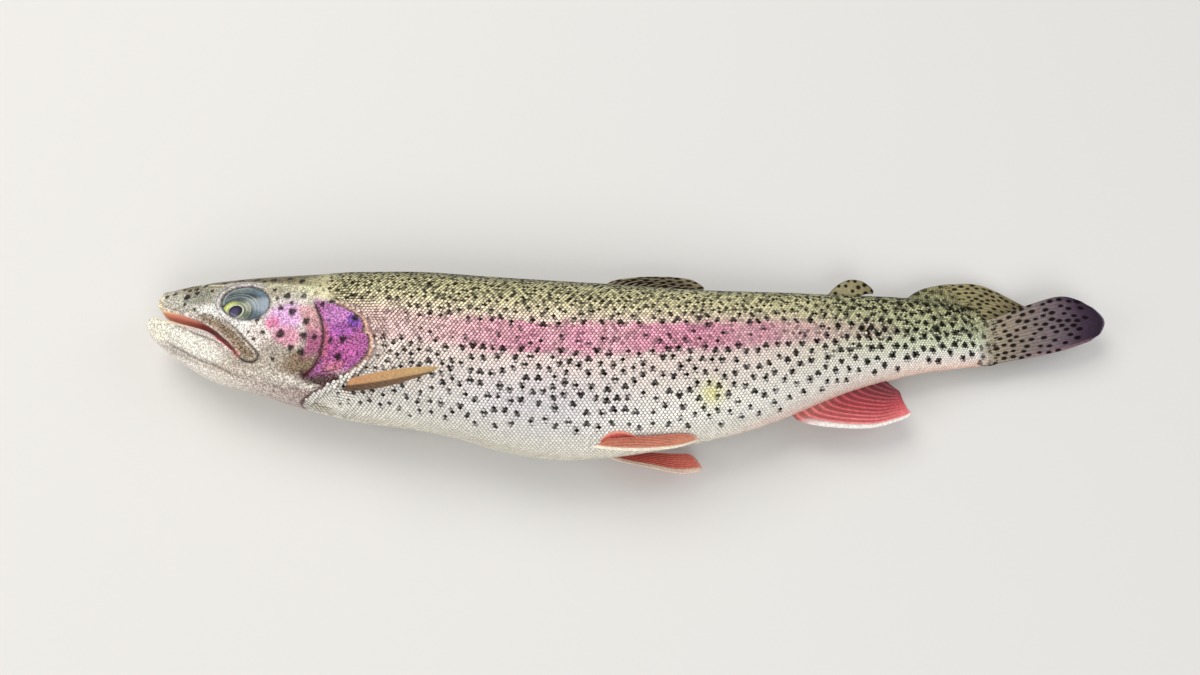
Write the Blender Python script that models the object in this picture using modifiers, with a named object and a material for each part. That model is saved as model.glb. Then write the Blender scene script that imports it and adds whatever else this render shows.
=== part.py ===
"""A rainbow trout, 357 mm from jaw to tail, lying on its right flank. Metres, +Z up.

The head points to -X, the back to +Y and the left flank to +Z. The body is one loft of closed rings,
parted with thin cuts into the head, jaws, gill covers, trunk and tail stalk. Fins are thin plates.
"""

import math

import bmesh
import bpy
from mathutils import Vector

MM = 0.001
GAP = 0.3                  # clear space between neighbouring pieces
FIN_THICKNESS = 0.8
FAR = 60.0                 # cutters reach this far past the fish
RING_POINTS = 32
WIDEST = 0.08              # how far above mid-depth the flank is widest, as a part of the half depth

# Lines along the fish, as (x, value): the profile of back and belly, the half width, the height of the
# middle plane over the ground, and the squareness of a section (2 is an ellipse).
BACK = (
    (-156, 19.5), (-154.5, 26.5), (-152, 30.2), (-147, 31.6), (-136, 33.6), (-122, 34.8), (-100, 35.9),
    (-75, 36.8), (-55, 36.7), (-30, 34.9), (12, 32.2), (50, 30.0), (88, 30.8), (135, 30.6), (156, 28.0),
)
BELLY = (
    (-156, 16.0), (-154.5, 13.5), (-152, 10.8), (-147, 6.8), (-140, 1.9), (-129, -4.2), (-117, -7.6),
    (-100, -13.0), (-76, -19.2), (-54, -22.6), (-40, -25.4), (-24, -30.2), (0, -33.6), (30, -30.6),
    (66, -22.2), (105, -6.3), (128, 0.4), (156, 4.6),
)
HALF_WIDTH = (
    (-156, 2.2), (-154.8, 4.2), (-152.5, 5.8), (-149, 7.2), (-143, 9.1), (-136, 10.9), (-117, 14.6),
    (-100, 16.6), (-85, 18.0), (-40, 19.2), (0, 20.0), (40, 18.2), (65, 15.1), (90, 11.5), (112, 8.3),
    (130, 6.1), (142, 4.7), (149, 2.9), (153, 1.3), (156, 1.0),
)
MID_HEIGHT = (
    (-156, 14.5), (-110, 16.8), (-73, 18.3), (-40, 19.0), (40, 19.0), (65, 17.0), (90, 14.2),
    (130, 10.0), (156, 8.4),
)
SQUARENESS = ((-156, 2.6), (-120, 2.6), (-75, 2.3), (0, 2.15), (156, 2.0))

NOSE, TAIL_BASE = -156.0, 153.0

# Cut lines, seen from the left side as (x, y).
UPPER_LIP = (
    (-170, 40.0), (-152.3, 26.8), (-151.9, 25.2), (-150.9, 23.4), (-149.2, 22.0), (-146.4, 20.9),
    (-143.0, 19.9), (-138.5, 18.0), (-134.4, 16.2), (-131.8, 15.2), (-126.9, 12.2), (-121.8, 8.1),
    (-118.0, 4.4), (-116.4, 2.4),
)
LOWER_LIP = (
    (-170, 20.5), (-154.4, 19.7), (-152.0, 19.4), (-149.2, 18.0), (-145.6, 17.0), (-141.0, 15.2),
    (-135.6, 13.4), (-130.5, 11.4), (-126.5, 9.1), (-121.8, 5.6), (-118.4, 2.6), (-116.4, 1.2),
)
JAW_JOINT = ((-116.4, 1.6), (-112.0, -1.6), (-107.5, -6.5), (-106.0, -20.0))
GILL_SLIT = (
    (-84.0, 45.0), (-85.0, 28.0), (-84.6, 20.4), (-80.0, 18.4), (-74.4, 15.2), (-71.2, 11.6),
    (-68.8, 5.0), (-69.6, -0.6), (-72.8, -3.9), (-77.5, -7.0), (-82.0, -12.0), (-86.0, -30.0),
)
GILL_COVER = (
    (-88.6, 21.2), (-84.9, 19.6), (-80.0, 17.4), (-74.7, 14.4), (-71.9, 11.4), (-69.5, 5.0),
    (-70.3, -0.4), (-73.2, -3.3), (-78.0, -6.6), (-84.6, -8.8), (-86.8, -5.0), (-85.3, 1.0),
    (-85.0, 7.2), (-86.0, 12.0), (-88.0, 17.0),
)
MAXILLA = (
    (-134.6, 16.6), (-130.8, 17.9), (-127.0, 16.4), (-120.0, 12.9), (-113.2, 6.2), (-109.2, 2.2),
    (-109.4, -0.2), (-112.4, -0.6), (-115.4, 0.9), (-118.3, 4.1), (-122.0, 7.8), (-127.1, 11.9),
    (-132.0, 14.9),
)
TONGUE = (
    (-145.8, 17.5), (-141.0, 15.7), (-135.6, 13.9), (-130.5, 11.9), (-126.5, 9.6), (-122.4, 6.6),
    (-123.0, 7.8), (-127.0, 10.9), (-131.0, 13.2), (-135.6, 15.2), (-140.0, 16.8), (-143.0, 17.7),
    (-145.0, 18.0),
)
TONGUE_HALF_WIDTH = 5.5
COVER_CORE = 11.0          # the head under a gill cover is this far to each side of the middle plane
MAXILLA_CORE = 5.5
TRUNK_CUTS = (6.0, 119.0)  # front trunk to rear trunk, rear trunk to tail stalk

EYE_CENTRE = (-115.4, 21.1)
EYE_RADII = (9.6, 7.6, 5.4)
EYE_RISE = 1.3             # how far the eye stands out of the cheek

# Fins: the leading and the trailing edge, each from the body outwards, as (x, y, z), and how round the
# outer edge is.
FINS = {
    "dorsal_fin": (
        ((11, 30.6, 19.0), (16, 34.4, 18.8), (25, 36.2, 18.3), (36, 36.6, 17.8), (45, 36.0, 17.4)),
        ((46, 28.6, 19.0), (48, 30.4, 18.6), (50.5, 31.4, 18.2)),
        1.0,
    ),
    "adipose_fin": (
        ((95.5, 29.0, 13.6), (101, 34.9, 13.3), (106, 37.4, 13.0), (110.5, 37.2, 12.8)),
        ((106.5, 29.2, 12.4), (111, 31.6, 12.4), (115, 32.0, 12.4)),
        1.2,
    ),
    "caudal_fin_upper": (
        ((126, 29.0, 10.4), (134, 34.4, 9.6), (146, 37.4, 8.4), (158, 37.6, 6.8), (172, 31.6, 4.4),
         (186, 24.0, 2.2), (195, 18.6, 1.3)),
        ((149.5, 20.6, 8.2), (158, 21.0, 6.0), (168, 18.6, 3.6), (180, 16.2, 1.9), (189, 15.4, 1.3)),
        2.0,
    ),
    "caudal_fin_lower": (
        ((149.5, 6.4, 8.8), (155, 4.8, 8.7), (164, 6.2, 8.9), (183, 9.8, 10.2), (197.5, 14.6, 10.6)),
        ((149.5, 19.0, 8.8), (155, 21.4, 9.0), (162.5, 23.9, 9.6), (174.4, 28.4, 10.8), (186.2, 31.2, 11.6),
         (196.0, 28.4, 11.2)),
        4.4,
    ),
    "anal_fin": (
        ((80, -15.6, 14.8), (84, -18.7, 14.4), (94.6, -20.4, 13.6), (109, -20.4, 12.4),
         (120, -17.4, 11.4), (125.5, -14.8, 10.8)),
        ((115, -0.8, 11.8), (118, -3.6, 11.4), (121.5, -6.2, 11.0)),
        -0.8,
    ),
    "pelvic_fin_left": (
        ((6, -29.6, 24.8), (10.5, -31.4, 26.9), (18, -32.3, 27.2), (28, -32.2, 26.6), (38, -30.8, 25.2),
         (46, -27.9, 23.6)),
        ((13, -28.6, 29.4), (22, -28.2, 30.0), (31, -27.5, 29.2), (38, -26.6, 27.9), (43, -26.2, 26.4)),
        0.6,
    ),
    "pelvic_fin_right": (
        ((10.5, -29.2, 12.8), (18, -32.4, 12.2), (29, -34.6, 11.4), (40, -36.4, 9.4), (48.6, -35.2, 8.0)),
        ((14.5, -26.4, 9.6), (25, -27.6, 7.2), (36, -28.2, 6.2), (44.5, -28.2, 5.8)),
        0.8,
    ),
    "pectoral_fin_left": (
        ((-75.5, -8.0, 31.6), (-72, -8.1, 35.0), (-62, -7.8, 40.2), (-52, -8.1, 45.0), (-41.8, -9.2, 49.4)),
        ((-78.0, -11.4, 29.0), (-74, -12.8, 33.2), (-65, -13.3, 37.6), (-55, -12.4, 42.0),
         (-45.5, -10.7, 46.4)),
        1.0,
    ),
    "pectoral_fin_right": (
        ((-75.5, -8.0, 5.8), (-70, -9.4, 3.0), (-60, -10.4, 1.7), (-48, -11.6, 1.1), (-37, -13.0, 1.0)),
        ((-78.0, -12.6, 8.6), (-72, -15.4, 4.4), (-62, -17.2, 2.6), (-50, -18.0, 1.6), (-40, -17.6, 1.2)),
        1.0,
    ),
}

COLOURS = {
    "head": (0.42, 0.40, 0.28),
    "lower_jaw": (0.62, 0.60, 0.50),
    "tongue": (0.72, 0.33, 0.28),
    "maxilla": (0.45, 0.41, 0.29),
    "gill_cover": (0.48, 0.18, 0.46),
    "trunk_front": (0.52, 0.52, 0.40),
    "trunk_rear": (0.56, 0.56, 0.46),
    "tail_stalk": (0.40, 0.42, 0.26),
    "eye": (0.06, 0.07, 0.09),
    "dorsal_fin": (0.22, 0.21, 0.15),
    "adipose_fin": (0.36, 0.36, 0.22),
    "caudal_fin": (0.34, 0.30, 0.28),
    "anal_fin": (0.52, 0.22, 0.22),
    "pelvic_fin": (0.56, 0.28, 0.26),
    "pectoral_fin": (0.58, 0.42, 0.24),
}


def clearScene():
    for item in list(bpy.data.objects):
        bpy.data.objects.remove(item, do_unlink=True)


def newCollection(name):
    group = bpy.data.collections.new(name)
    bpy.context.scene.collection.children.link(group)
    return group


def material(name, roughness=0.4):
    """A plain finish for a piece, found by the start of its name."""
    key = max((k for k in COLOURS if name.startswith(k)), key=len)
    found = bpy.data.materials.get(key)
    if found is None:
        found = bpy.data.materials.new(key)
        found.use_nodes = True
        shader = found.node_tree.nodes["Principled BSDF"]
        shader.inputs["Base Color"].default_value = (*COLOURS[key], 1.0)
        shader.inputs["Roughness"].default_value = roughness
        shader.inputs["Metallic"].default_value = 0.0
    return found


def slopeAt(line, k):
    """Slope of a smooth line at its point k, level where the line turns."""
    if k == 0:
        k = 1
        return (line[k][1] - line[0][1]) / (line[k][0] - line[0][0])
    before = (line[k][1] - line[k - 1][1]) / (line[k][0] - line[k - 1][0])
    if k == len(line) - 1:
        return before
    after = (line[k + 1][1] - line[k][1]) / (line[k + 1][0] - line[k][0])
    if before * after <= 0:
        return 0.0
    spanBefore = line[k][0] - line[k - 1][0]
    spanAfter = line[k + 1][0] - line[k][0]
    return (before * spanAfter + after * spanBefore) / (spanBefore + spanAfter)


def along(line, x):
    """The value of a smooth line of (x, value) points at x."""
    if x <= line[0][0]:
        return line[0][1]
    if x >= line[-1][0]:
        return line[-1][1]
    k = max(i for i in range(len(line) - 1) if line[i][0] <= x)
    span = line[k + 1][0] - line[k][0]
    t = (x - line[k][0]) / span
    start, end = line[k][1], line[k + 1][1]
    leave, arrive = slopeAt(line, k) * span, slopeAt(line, k + 1) * span
    return (
        (2 * t**3 - 3 * t**2 + 1) * start + (t**3 - 2 * t**2 + t) * leave
        + (3 * t**2 - 2 * t**3) * end + (t**3 - t**2) * arrive
    )


def ringPoint(x, angle, grow=0.0):
    """A point of the skin at station x: angle 0 is the back, a quarter turn the left flank."""
    back, belly = along(BACK, x) + grow, along(BELLY, x) - grow
    width, square = along(HALF_WIDTH, x) + grow, along(SQUARENESS, x)
    level = (back + belly) / 2 + WIDEST * (back - belly) / 2
    c, s = math.cos(angle), math.sin(angle)
    rise = back - level if c > 0 else level - belly
    y = level + rise * math.copysign(abs(c) ** (2 / square), c)
    z = along(MID_HEIGHT, x) + width * math.copysign(abs(s) ** (2 / square), s)
    return x, y, max(z, 0.0)


def flankHeight(x, y, side=1):
    """Height of the skin at (x, y), on the left flank for side 1 and on the right for -1."""
    back, belly = along(BACK, x), along(BELLY, x)
    level = (back + belly) / 2 + WIDEST * (back - belly) / 2
    square = along(SQUARENESS, x)
    reach = back - level if y > level else level - belly
    part = min(abs(y - level) / reach, 1.0)
    return along(MID_HEIGHT, x) + side * along(HALF_WIDTH, x) * (1 - part**square) ** (1 / square)


def stations():
    """Places of the rings: close together at the nose, wide apart on the trunk."""
    places = [NOSE]
    step = 1.6
    while places[-1] + step < TAIL_BASE - 3:
        places.append(places[-1] + step)
        step = min(step * 1.16, 9.0)
    return places + [TAIL_BASE]


def place(name, group, mesh):
    """Links a mesh as an object; a cutter is hidden, and a piece of the fish gets its material."""
    piece = bpy.data.objects.new(name, mesh)
    group.objects.link(piece)
    if group.name.endswith("cutters"):
        piece.hide_render = True
        piece.display_type = "WIRE"
    else:
        mesh.materials.append(material(name))
    return piece


def bodyLoft(name, group, grow=0.0):
    """The whole fish without fins, as one closed loft of rings."""
    shape = bmesh.new()
    rings = []
    places = stations()
    if grow:
        places = [places[0] - grow] + places[1:-1] + [places[-1] + grow]
    for x in places:
        turn = 2 * math.pi / RING_POINTS
        rings.append([
            shape.verts.new([v * MM for v in ringPoint(x, i * turn, grow)]) for i in range(RING_POINTS)
        ])
    for ahead, behind in zip(rings, rings[1:]):
        for i in range(RING_POINTS):
            j = (i + 1) % RING_POINTS
            shape.faces.new((ahead[i], ahead[j], behind[j], behind[i]))
    shape.faces.new(rings[0])
    shape.faces.new(rings[-1])
    bmesh.ops.recalc_face_normals(shape, faces=shape.faces[:])
    mesh = bpy.data.meshes.new(name)
    shape.to_mesh(mesh)
    shape.free()
    mesh.shade_smooth()
    return place(name, group, mesh)


def prism(name, group, outline, low, high):
    """A cutter: an outline in (x, y) raised from z low to z high."""
    shape = bmesh.new()
    floor = shape.faces.new([shape.verts.new((x * MM, y * MM, low * MM)) for x, y in outline])
    raised = bmesh.ops.extrude_face_region(shape, geom=[floor])["geom"]
    tops = [v for v in raised if isinstance(v, bmesh.types.BMVert)]
    bmesh.ops.translate(shape, verts=tops, vec=Vector((0, 0, (high - low) * MM)))
    bmesh.ops.recalc_face_normals(shape, faces=shape.faces[:])
    mesh = bpy.data.meshes.new(name)
    shape.to_mesh(mesh)
    shape.free()
    return place(name, group, mesh)


def ellipsoid(name, group, centre, radii, segments, rings):
    shape = bmesh.new()
    bmesh.ops.create_uvsphere(shape, u_segments=segments, v_segments=rings, radius=1.0)
    for corner in shape.verts:
        corner.co = [(centre[k] + corner.co[k] * radii[k]) * MM for k in range(3)]
    mesh = bpy.data.meshes.new(name)
    shape.to_mesh(mesh)
    shape.free()
    mesh.shade_smooth()
    return place(name, group, mesh)


def cut(piece, cutter, operation):
    change = piece.modifiers.new(cutter.name, "BOOLEAN")
    change.operation = operation
    change.solver = "EXACT"
    change.object = cutter


def shifted(line, distance):
    """A line of (x, y) points moved to its left by a distance."""
    moved = []
    for k in range(len(line)):
        before, after = line[max(k - 1, 0)], line[min(k + 1, len(line) - 1)]
        dx, dy = after[0] - before[0], after[1] - before[1]
        length = math.hypot(dx, dy)
        moved.append((line[k][0] - dy / length * distance, line[k][1] + dx / length * distance))
    return moved


def grown(outline, distance):
    """A closed clockwise outline made larger by a distance."""
    moved = []
    count = len(outline)
    for k in range(count):
        before, after = outline[k - 1], outline[(k + 1) % count]
        dx, dy = after[0] - before[0], after[1] - before[1]
        length = math.hypot(dx, dy)
        moved.append((outline[k][0] - dy / length * distance, outline[k][1] + dx / length * distance))
    return moved


def smoothPoint(rail, t):
    """A point at part t of a smooth curve through the points of a rail."""
    spot = t * (len(rail) - 1)
    k = min(int(spot), len(rail) - 2)
    f = spot - k
    p1, p2 = Vector(rail[k]), Vector(rail[k + 1])
    p0 = Vector(rail[k - 1]) if k > 0 else p1 * 2 - p2
    p3 = Vector(rail[k + 2]) if k + 2 < len(rail) else p2 * 2 - p1
    return 0.5 * (
        2 * p1 + (p2 - p0) * f + (2 * p0 - 5 * p1 + 4 * p2 - p3) * f**2
        + (3 * p1 - p0 - 3 * p2 + p3) * f**3
    )


def finPlate(name, group, lead, trail, roundness, thickness=FIN_THICKNESS, across=6, out=11):
    """A fin between its leading and trailing edges, with a rounded outer edge."""
    shape = bmesh.new()
    grid = []
    for i in range(across + 1):
        u = i / across
        row = []
        for j in range(out + 1):
            v = j / out
            spot = smoothPoint(lead, v).lerp(smoothPoint(trail, v), u)
            heading = smoothPoint(lead, 1) - smoothPoint(lead, 0.8)
            heading = heading.lerp(smoothPoint(trail, 1) - smoothPoint(trail, 0.8), u).normalized()
            spot += heading * roundness * 4 * u * (1 - u) * v**3
            row.append(shape.verts.new(spot * MM))
        grid.append(row)
    for i in range(across):
        for j in range(out):
            shape.faces.new((grid[i][j], grid[i][j + 1], grid[i + 1][j + 1], grid[i + 1][j]))
    mesh = bpy.data.meshes.new(name)
    shape.to_mesh(mesh)
    shape.free()
    mesh.shade_smooth()
    fin = place(name, group, mesh)
    thicken = fin.modifiers.new("thickness", "SOLIDIFY")
    thicken.thickness = thickness * MM
    thicken.offset = 0.0
    return fin


def buildTrunk(parts, cutters):
    half = GAP / 2
    front, rear = TRUNK_CUTS
    slit = shifted(GILL_SLIT, half)
    outline = slit + [
        (slit[-1][0], -FAR), (front - half, -FAR), (front - half, FAR), (slit[0][0], FAR),
    ]
    trunk = bodyLoft("trunk_front", parts)
    cut(trunk, prism("trunk_front_keep", cutters, outline, -FAR, FAR), "INTERSECT")
    for name, start, end in (("trunk_rear", front, rear), ("tail_stalk", rear, TAIL_BASE + 10)):
        box = [(start + half, -FAR), (end - half, -FAR), (end - half, FAR), (start + half, FAR)]
        cut(bodyLoft(name, parts), prism(name + "_keep", cutters, box, -FAR, FAR), "INTERSECT")


def buildHead(parts, cutters):
    half = GAP / 2
    slit = shifted(GILL_SLIT, -half)
    front = NOSE - 20
    outline = [(front, FAR), (slit[0][0], FAR)] + slit + [(slit[-1][0], -FAR), (front, -FAR)]
    head = bodyLoft("head", parts)
    cut(head, prism("head_keep", cutters, outline, -FAR, FAR), "INTERSECT")
    under = list(UPPER_LIP) + shifted(JAW_JOINT, half)[1:]
    under += [(under[-1][0], -FAR), (front, -FAR)]
    cut(head, prism("mouth_cut", cutters, under, -FAR, FAR), "DIFFERENCE")
    jaw = bodyLoft("lower_jaw", parts)
    keep = list(LOWER_LIP) + shifted(JAW_JOINT, -half)[1:]
    keep += [(keep[-1][0], -FAR), (front, -FAR)]
    cut(jaw, prism("lower_jaw_keep", cutters, keep, -FAR, FAR), "INTERSECT")
    middle = along(MID_HEIGHT, TONGUE[3][0])
    low, high = middle - TONGUE_HALF_WIDTH, middle + TONGUE_HALF_WIDTH
    cut(bodyLoft("tongue", parts), prism("tongue_keep", cutters, TONGUE, low, high), "INTERSECT")
    return head


def buildSidePieces(head, parts, cutters):
    """The gill cover, the maxilla and the eye of each side, each let into the head."""
    plates = (("gill_cover", GILL_COVER, COVER_CORE), ("maxilla", MAXILLA, MAXILLA_CORE))
    for side, label in ((1, "left"), (-1, "right")):
        for name, outline, core in plates:
            middle = along(MID_HEIGHT, sum(p[0] for p in outline) / len(outline))
            inner, outer = middle + side * core, middle + side * FAR
            low, high = min(inner, outer), max(inner, outer)
            piece = bodyLoft(f"{name}_{label}", parts)
            cut(piece, prism(f"{name}_{label}_keep", cutters, outline, low, high), "INTERSECT")
            low, high = low - GAP, high + GAP
            pocket = prism(f"{name}_{label}_pocket", cutters, grown(outline, GAP), low, high)
            cut(head, pocket, "DIFFERENCE")
        x, y = EYE_CENTRE
        z = flankHeight(x, y, side) + side * (EYE_RISE - EYE_RADII[2])
        ellipsoid(f"eye_{label}", parts, (x, y, z), EYE_RADII, 20, 12)
        radii = [r + GAP for r in EYE_RADII]
        socket = ellipsoid(f"eye_{label}_socket", cutters, (x, y, z), radii, 20, 12)
        cut(head, socket, "DIFFERENCE")


def buildFins(parts, cutters):
    guard = bodyLoft("body_guard", cutters, GAP)
    for name, (lead, trail, roundness) in FINS.items():
        fin = finPlate(name, parts, lead, trail, roundness)
        cut(fin, guard, "DIFFERENCE")


def main():
    clearScene()
    parts = newCollection("rainbow_trout")
    cutters = newCollection("rainbow_trout_cutters")
    buildTrunk(parts, cutters)
    head = buildHead(parts, cutters)
    buildSidePieces(head, parts, cutters)
    buildFins(parts, cutters)


main()
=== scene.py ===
import bpy
import math
import numpy as np
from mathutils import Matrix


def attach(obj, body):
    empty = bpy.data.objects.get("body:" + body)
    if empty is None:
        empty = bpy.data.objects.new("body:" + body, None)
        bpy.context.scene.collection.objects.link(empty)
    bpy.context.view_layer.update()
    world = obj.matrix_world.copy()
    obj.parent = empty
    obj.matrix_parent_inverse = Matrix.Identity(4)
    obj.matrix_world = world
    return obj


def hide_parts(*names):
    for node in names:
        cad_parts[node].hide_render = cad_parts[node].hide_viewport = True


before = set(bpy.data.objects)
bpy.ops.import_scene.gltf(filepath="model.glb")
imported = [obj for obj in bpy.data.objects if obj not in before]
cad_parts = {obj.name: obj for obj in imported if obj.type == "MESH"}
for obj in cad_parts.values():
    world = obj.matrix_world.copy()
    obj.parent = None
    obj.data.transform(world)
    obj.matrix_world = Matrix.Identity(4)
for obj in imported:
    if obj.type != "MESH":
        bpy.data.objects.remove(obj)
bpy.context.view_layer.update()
bpy.ops.object.select_all(action="DESELECT")
mm = 0.001

# The trout lies on its right flank: head to -X, back to +Y, left flank up. Lengths below are millimetres.
body = {
    "back": ((-156, 19.5), (-154.5, 26.5), (-152, 30.2), (-147, 31.6), (-136, 33.6), (-122, 34.8),
             (-100, 35.9), (-75, 36.8), (-55, 36.7), (-30, 34.9), (12, 32.2), (50, 30.0), (88, 30.8),
             (135, 30.6), (156, 28.0)),
    "belly": ((-156, 16.0), (-154.5, 13.5), (-152, 10.8), (-147, 6.8), (-140, 1.9), (-129, -4.2),
              (-117, -7.6), (-100, -13.0), (-76, -19.2), (-54, -22.6), (-40, -25.4), (-24, -30.2),
              (0, -33.6), (30, -30.6), (66, -22.2), (105, -6.3), (128, 0.4), (156, 4.6)),
    "halfWidth": ((-156, 2.2), (-154.8, 4.2), (-152.5, 5.8), (-149, 7.2), (-143, 9.1), (-136, 10.9),
                  (-117, 14.6), (-100, 16.6), (-85, 18.0), (-40, 19.2), (0, 20.0), (40, 18.2), (65, 15.1),
                  (90, 11.5), (112, 8.3), (130, 6.1), (142, 4.7), (149, 2.9), (153, 1.3), (156, 1.0)),
    "middle": ((-156, 14.5), (-110, 16.8), (-73, 18.3), (-40, 19.0), (40, 19.0), (65, 17.0),
               (90, 14.2), (130, 10.0), (156, 8.4)),
    "square": ((-156, 2.6), (-120, 2.6), (-75, 2.3), (0, 2.15), (156, 2.0)),
    "widest": 0.08,
    "tailBase": 155.6,
    "tailDrop": 1.1,       # the upper half of the stalk's end sinks towards the upper lobe
    "coatDepth": 0.5,      # the skin lies this far inside the solids, under the scales
    "rest": 0.2,           # height of the pressed flank's skin over the ground
    "clear": 0.05,         # no fin comes nearer to the ground than this, and no scale than "clearScale"
    "clearScale": 0.03,
    "probe": (0.15, 0.012),     # how far along and round the body its slope is read
}
seeds = {"spots": {1: 7, -1: 23}, "crown": 31, "scales": {1: 101, -1: 202}, "fins": 300, "tailScales": 77}


def ease(a, b, t):
    t = np.clip((t - a) / (b - a), 0, 1)
    return t * t * (3 - 2 * t)


def ends(s, rise, fall):
    # fades in over the first part of a line and out over its last part
    return ease(0, rise, s) * ease(1, fall, s)


def bell(d, width=1.0):
    return np.exp(-(d / width) ** 2)


def oval(x, y, px, py, long, high, turn=0.0):
    # 0 in the middle of a leaning oval, 1 on its rim
    c, s = math.cos(turn), math.sin(turn)
    return np.hypot((c * (x - px) + s * (y - py)) / long, (c * (y - py) - s * (x - px)) / high)


def unit(v):
    return v / np.maximum(np.linalg.norm(v, axis=-1, keepdims=True), 1e-9)


def shade(r, g, b):
    # a colour as a painter mixes it on screen, turned into light
    c = np.array((r, g, b), float) / 255
    return np.where(c <= 0.04045, c / 12.92, ((c + 0.055) / 1.055) ** 2.4)


def mix(a, b, t):
    t = np.asarray(t)[..., None]
    return a * (1 - t) + b * t


def paint(tint, *layers):
    # lays one colour after another over a tint, each as thickly as its mask says
    tint = shade(*tint) if isinstance(tint, tuple) else tint
    for colour, mask in layers:
        tint = mix(tint, shade(*colour), mask)
    return tint


def fromTable(table, at, column=1):
    # colours between the rows of a table that is ordered by its first column
    stops = [row[0] for row in table]
    colours = np.array([shade(*row[column]) for row in table])
    return np.stack([np.interp(at, stops, colours[:, k]) for k in range(3)], -1)


def along(line, x):
    # a line through given points that never overshoots them
    px, py = np.array(line, float).T
    h = np.diff(px)
    d = np.diff(py) / h
    m = np.concatenate(([d[0]], (d[:-1] * h[1:] + d[1:] * h[:-1]) / (h[1:] + h[:-1]), [d[-1]]))
    m[1:-1] = np.where(d[:-1] * d[1:] > 0, m[1:-1], 0)
    x = np.clip(x, px[0], px[-1])
    k = np.clip(np.searchsorted(px, x, side="right") - 1, 0, len(h) - 1)
    t = (x - px[k]) / h[k]
    return ((2 * t**3 - 3 * t**2 + 1) * py[k] + (t**3 - 2 * t**2 + t) * m[k] * h[k]
            + (3 * t**2 - 2 * t**3) * py[k + 1] + (t**3 - t**2) * m[k + 1] * h[k])


def section(x, inset):
    back = along(body["back"], x) - inset
    belly = along(body["belly"], x) + inset
    level = (back + belly) / 2 + body["widest"] * (back - belly) / 2
    return back, belly, level, along(body["halfWidth"], x) - inset, along(body["square"], x)


def bodyPoint(x, angle, inset=body["coatDepth"]):
    # angle 0 is the back, a quarter turn the left flank, a half turn the belly
    x, angle = np.broadcast_arrays(np.asarray(x, float), np.asarray(angle, float))
    back, belly, level, width, square = section(x, inset)
    c, s = np.cos(angle), np.sin(angle)
    rise = np.where(c > 0, back - level, level - belly)
    y = level + rise * np.sign(c) * np.abs(c) ** (2 / square)
    z = along(body["middle"], x) + width * np.sign(s) * np.abs(s) ** (2 / square)
    z = z - body["tailDrop"] * ease(146, 155, x) * ease(17, 23, y)
    return np.stack((x, y, np.maximum(z, body["rest"])), -1)


def bodyNormal(x, angle):
    dx, turn = body["probe"]
    ahead, behind = bodyPoint(x - dx, angle), bodyPoint(x + dx, angle)
    before, after = bodyPoint(x, angle - turn), bodyPoint(x, angle + turn)
    return unit(np.cross(after - before, behind - ahead))


def angleAt(x, y):
    back, belly, level, _, square = section(x, body["coatDepth"])
    rise = np.where(y > level, back - level, level - belly)
    part = np.clip(np.abs(y - level) / rise, 0, 1) ** (square / 2)
    return np.arccos(np.where(y > level, part, -part))


def onSide(angle, side):
    return angle if side > 0 else 2 * np.pi - angle


def curveAt(points, t):
    # a smooth line through given points, with t counted in points
    p = np.array(points, float)
    p = np.vstack((2 * p[0] - p[1], p, 2 * p[-1] - p[-2]))
    k = np.minimum(t.astype(int), len(points) - 2)
    f = (t - k)[..., None]
    a, b, c, d = p[k], p[k + 1], p[k + 2], p[k + 3]
    return 0.5 * (2 * b + (c - a) * f + (2 * a - 5 * b + 4 * c - d) * f**2
                  + (3 * b - a - 3 * c + d) * f**3)


def trace(points, count=90):
    return curveAt(points, np.linspace(0, len(points) - 1, count))


def offLine(line, x, y):
    # distance from a line, positive on its right hand, and how far along it the nearest point is
    best, far, sign = np.full(x.shape, 1e9), np.zeros(x.shape), np.ones(x.shape)
    for k in range(len(line) - 1):
        (ax, ay), (bx, by) = line[k], line[k + 1]
        dx, dy = bx - ax, by - ay
        t = np.clip(((x - ax) * dx + (y - ay) * dy) / (dx * dx + dy * dy), 0, 1)
        away = np.hypot(x - ax - t * dx, y - ay - t * dy)
        nearer = away < best
        best = np.where(nearer, away, best)
        far = np.where(nearer, (k + t) / (len(line) - 1), far)
        sign = np.where(nearer, np.sign((y - ay) * dx - (x - ax) * dy), sign)
    return -best * np.where(sign == 0, 1, sign), far


def insideOf(outline, x, y):
    # distance inside a closed outline, negative outside
    closed = np.vstack((outline, outline[:1]))
    away = np.abs(offLine(closed, x, y)[0])
    crossings = np.zeros(x.shape, int)
    for (ax, ay), (bx, by) in zip(closed[:-1], closed[1:]):
        with np.errstate(divide="ignore", invalid="ignore"):
            reach = ax + (y - ay) / (by - ay) * (bx - ax)
        crossings += ((ay > y) != (by > y)) & (x < reach)
    return np.where(crossings % 2 == 1, away, -away)


def wrap(rings, hubs, outward):
    # quads round a stack of rings, and a fan of triangles over each end
    a, b = rings[:-1], rings[1:]
    asideA, asideB = np.roll(a, -1, 1), np.roll(b, -1, 1)
    quads = np.stack((a, asideA, asideB, b) if outward else (a, b, asideB, asideA), -1).reshape(-1, 4)
    fans = []
    for ring, hub, onward in ((rings[0], hubs[0], not outward), (rings[-1], hubs[1], outward)):
        pair = (ring, np.roll(ring, -1)) if onward else (np.roll(ring, -1), ring)
        fans.append(np.stack((*pair, np.full(len(ring), hub)), 1))
    return [quads, np.concatenate(fans)]


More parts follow.
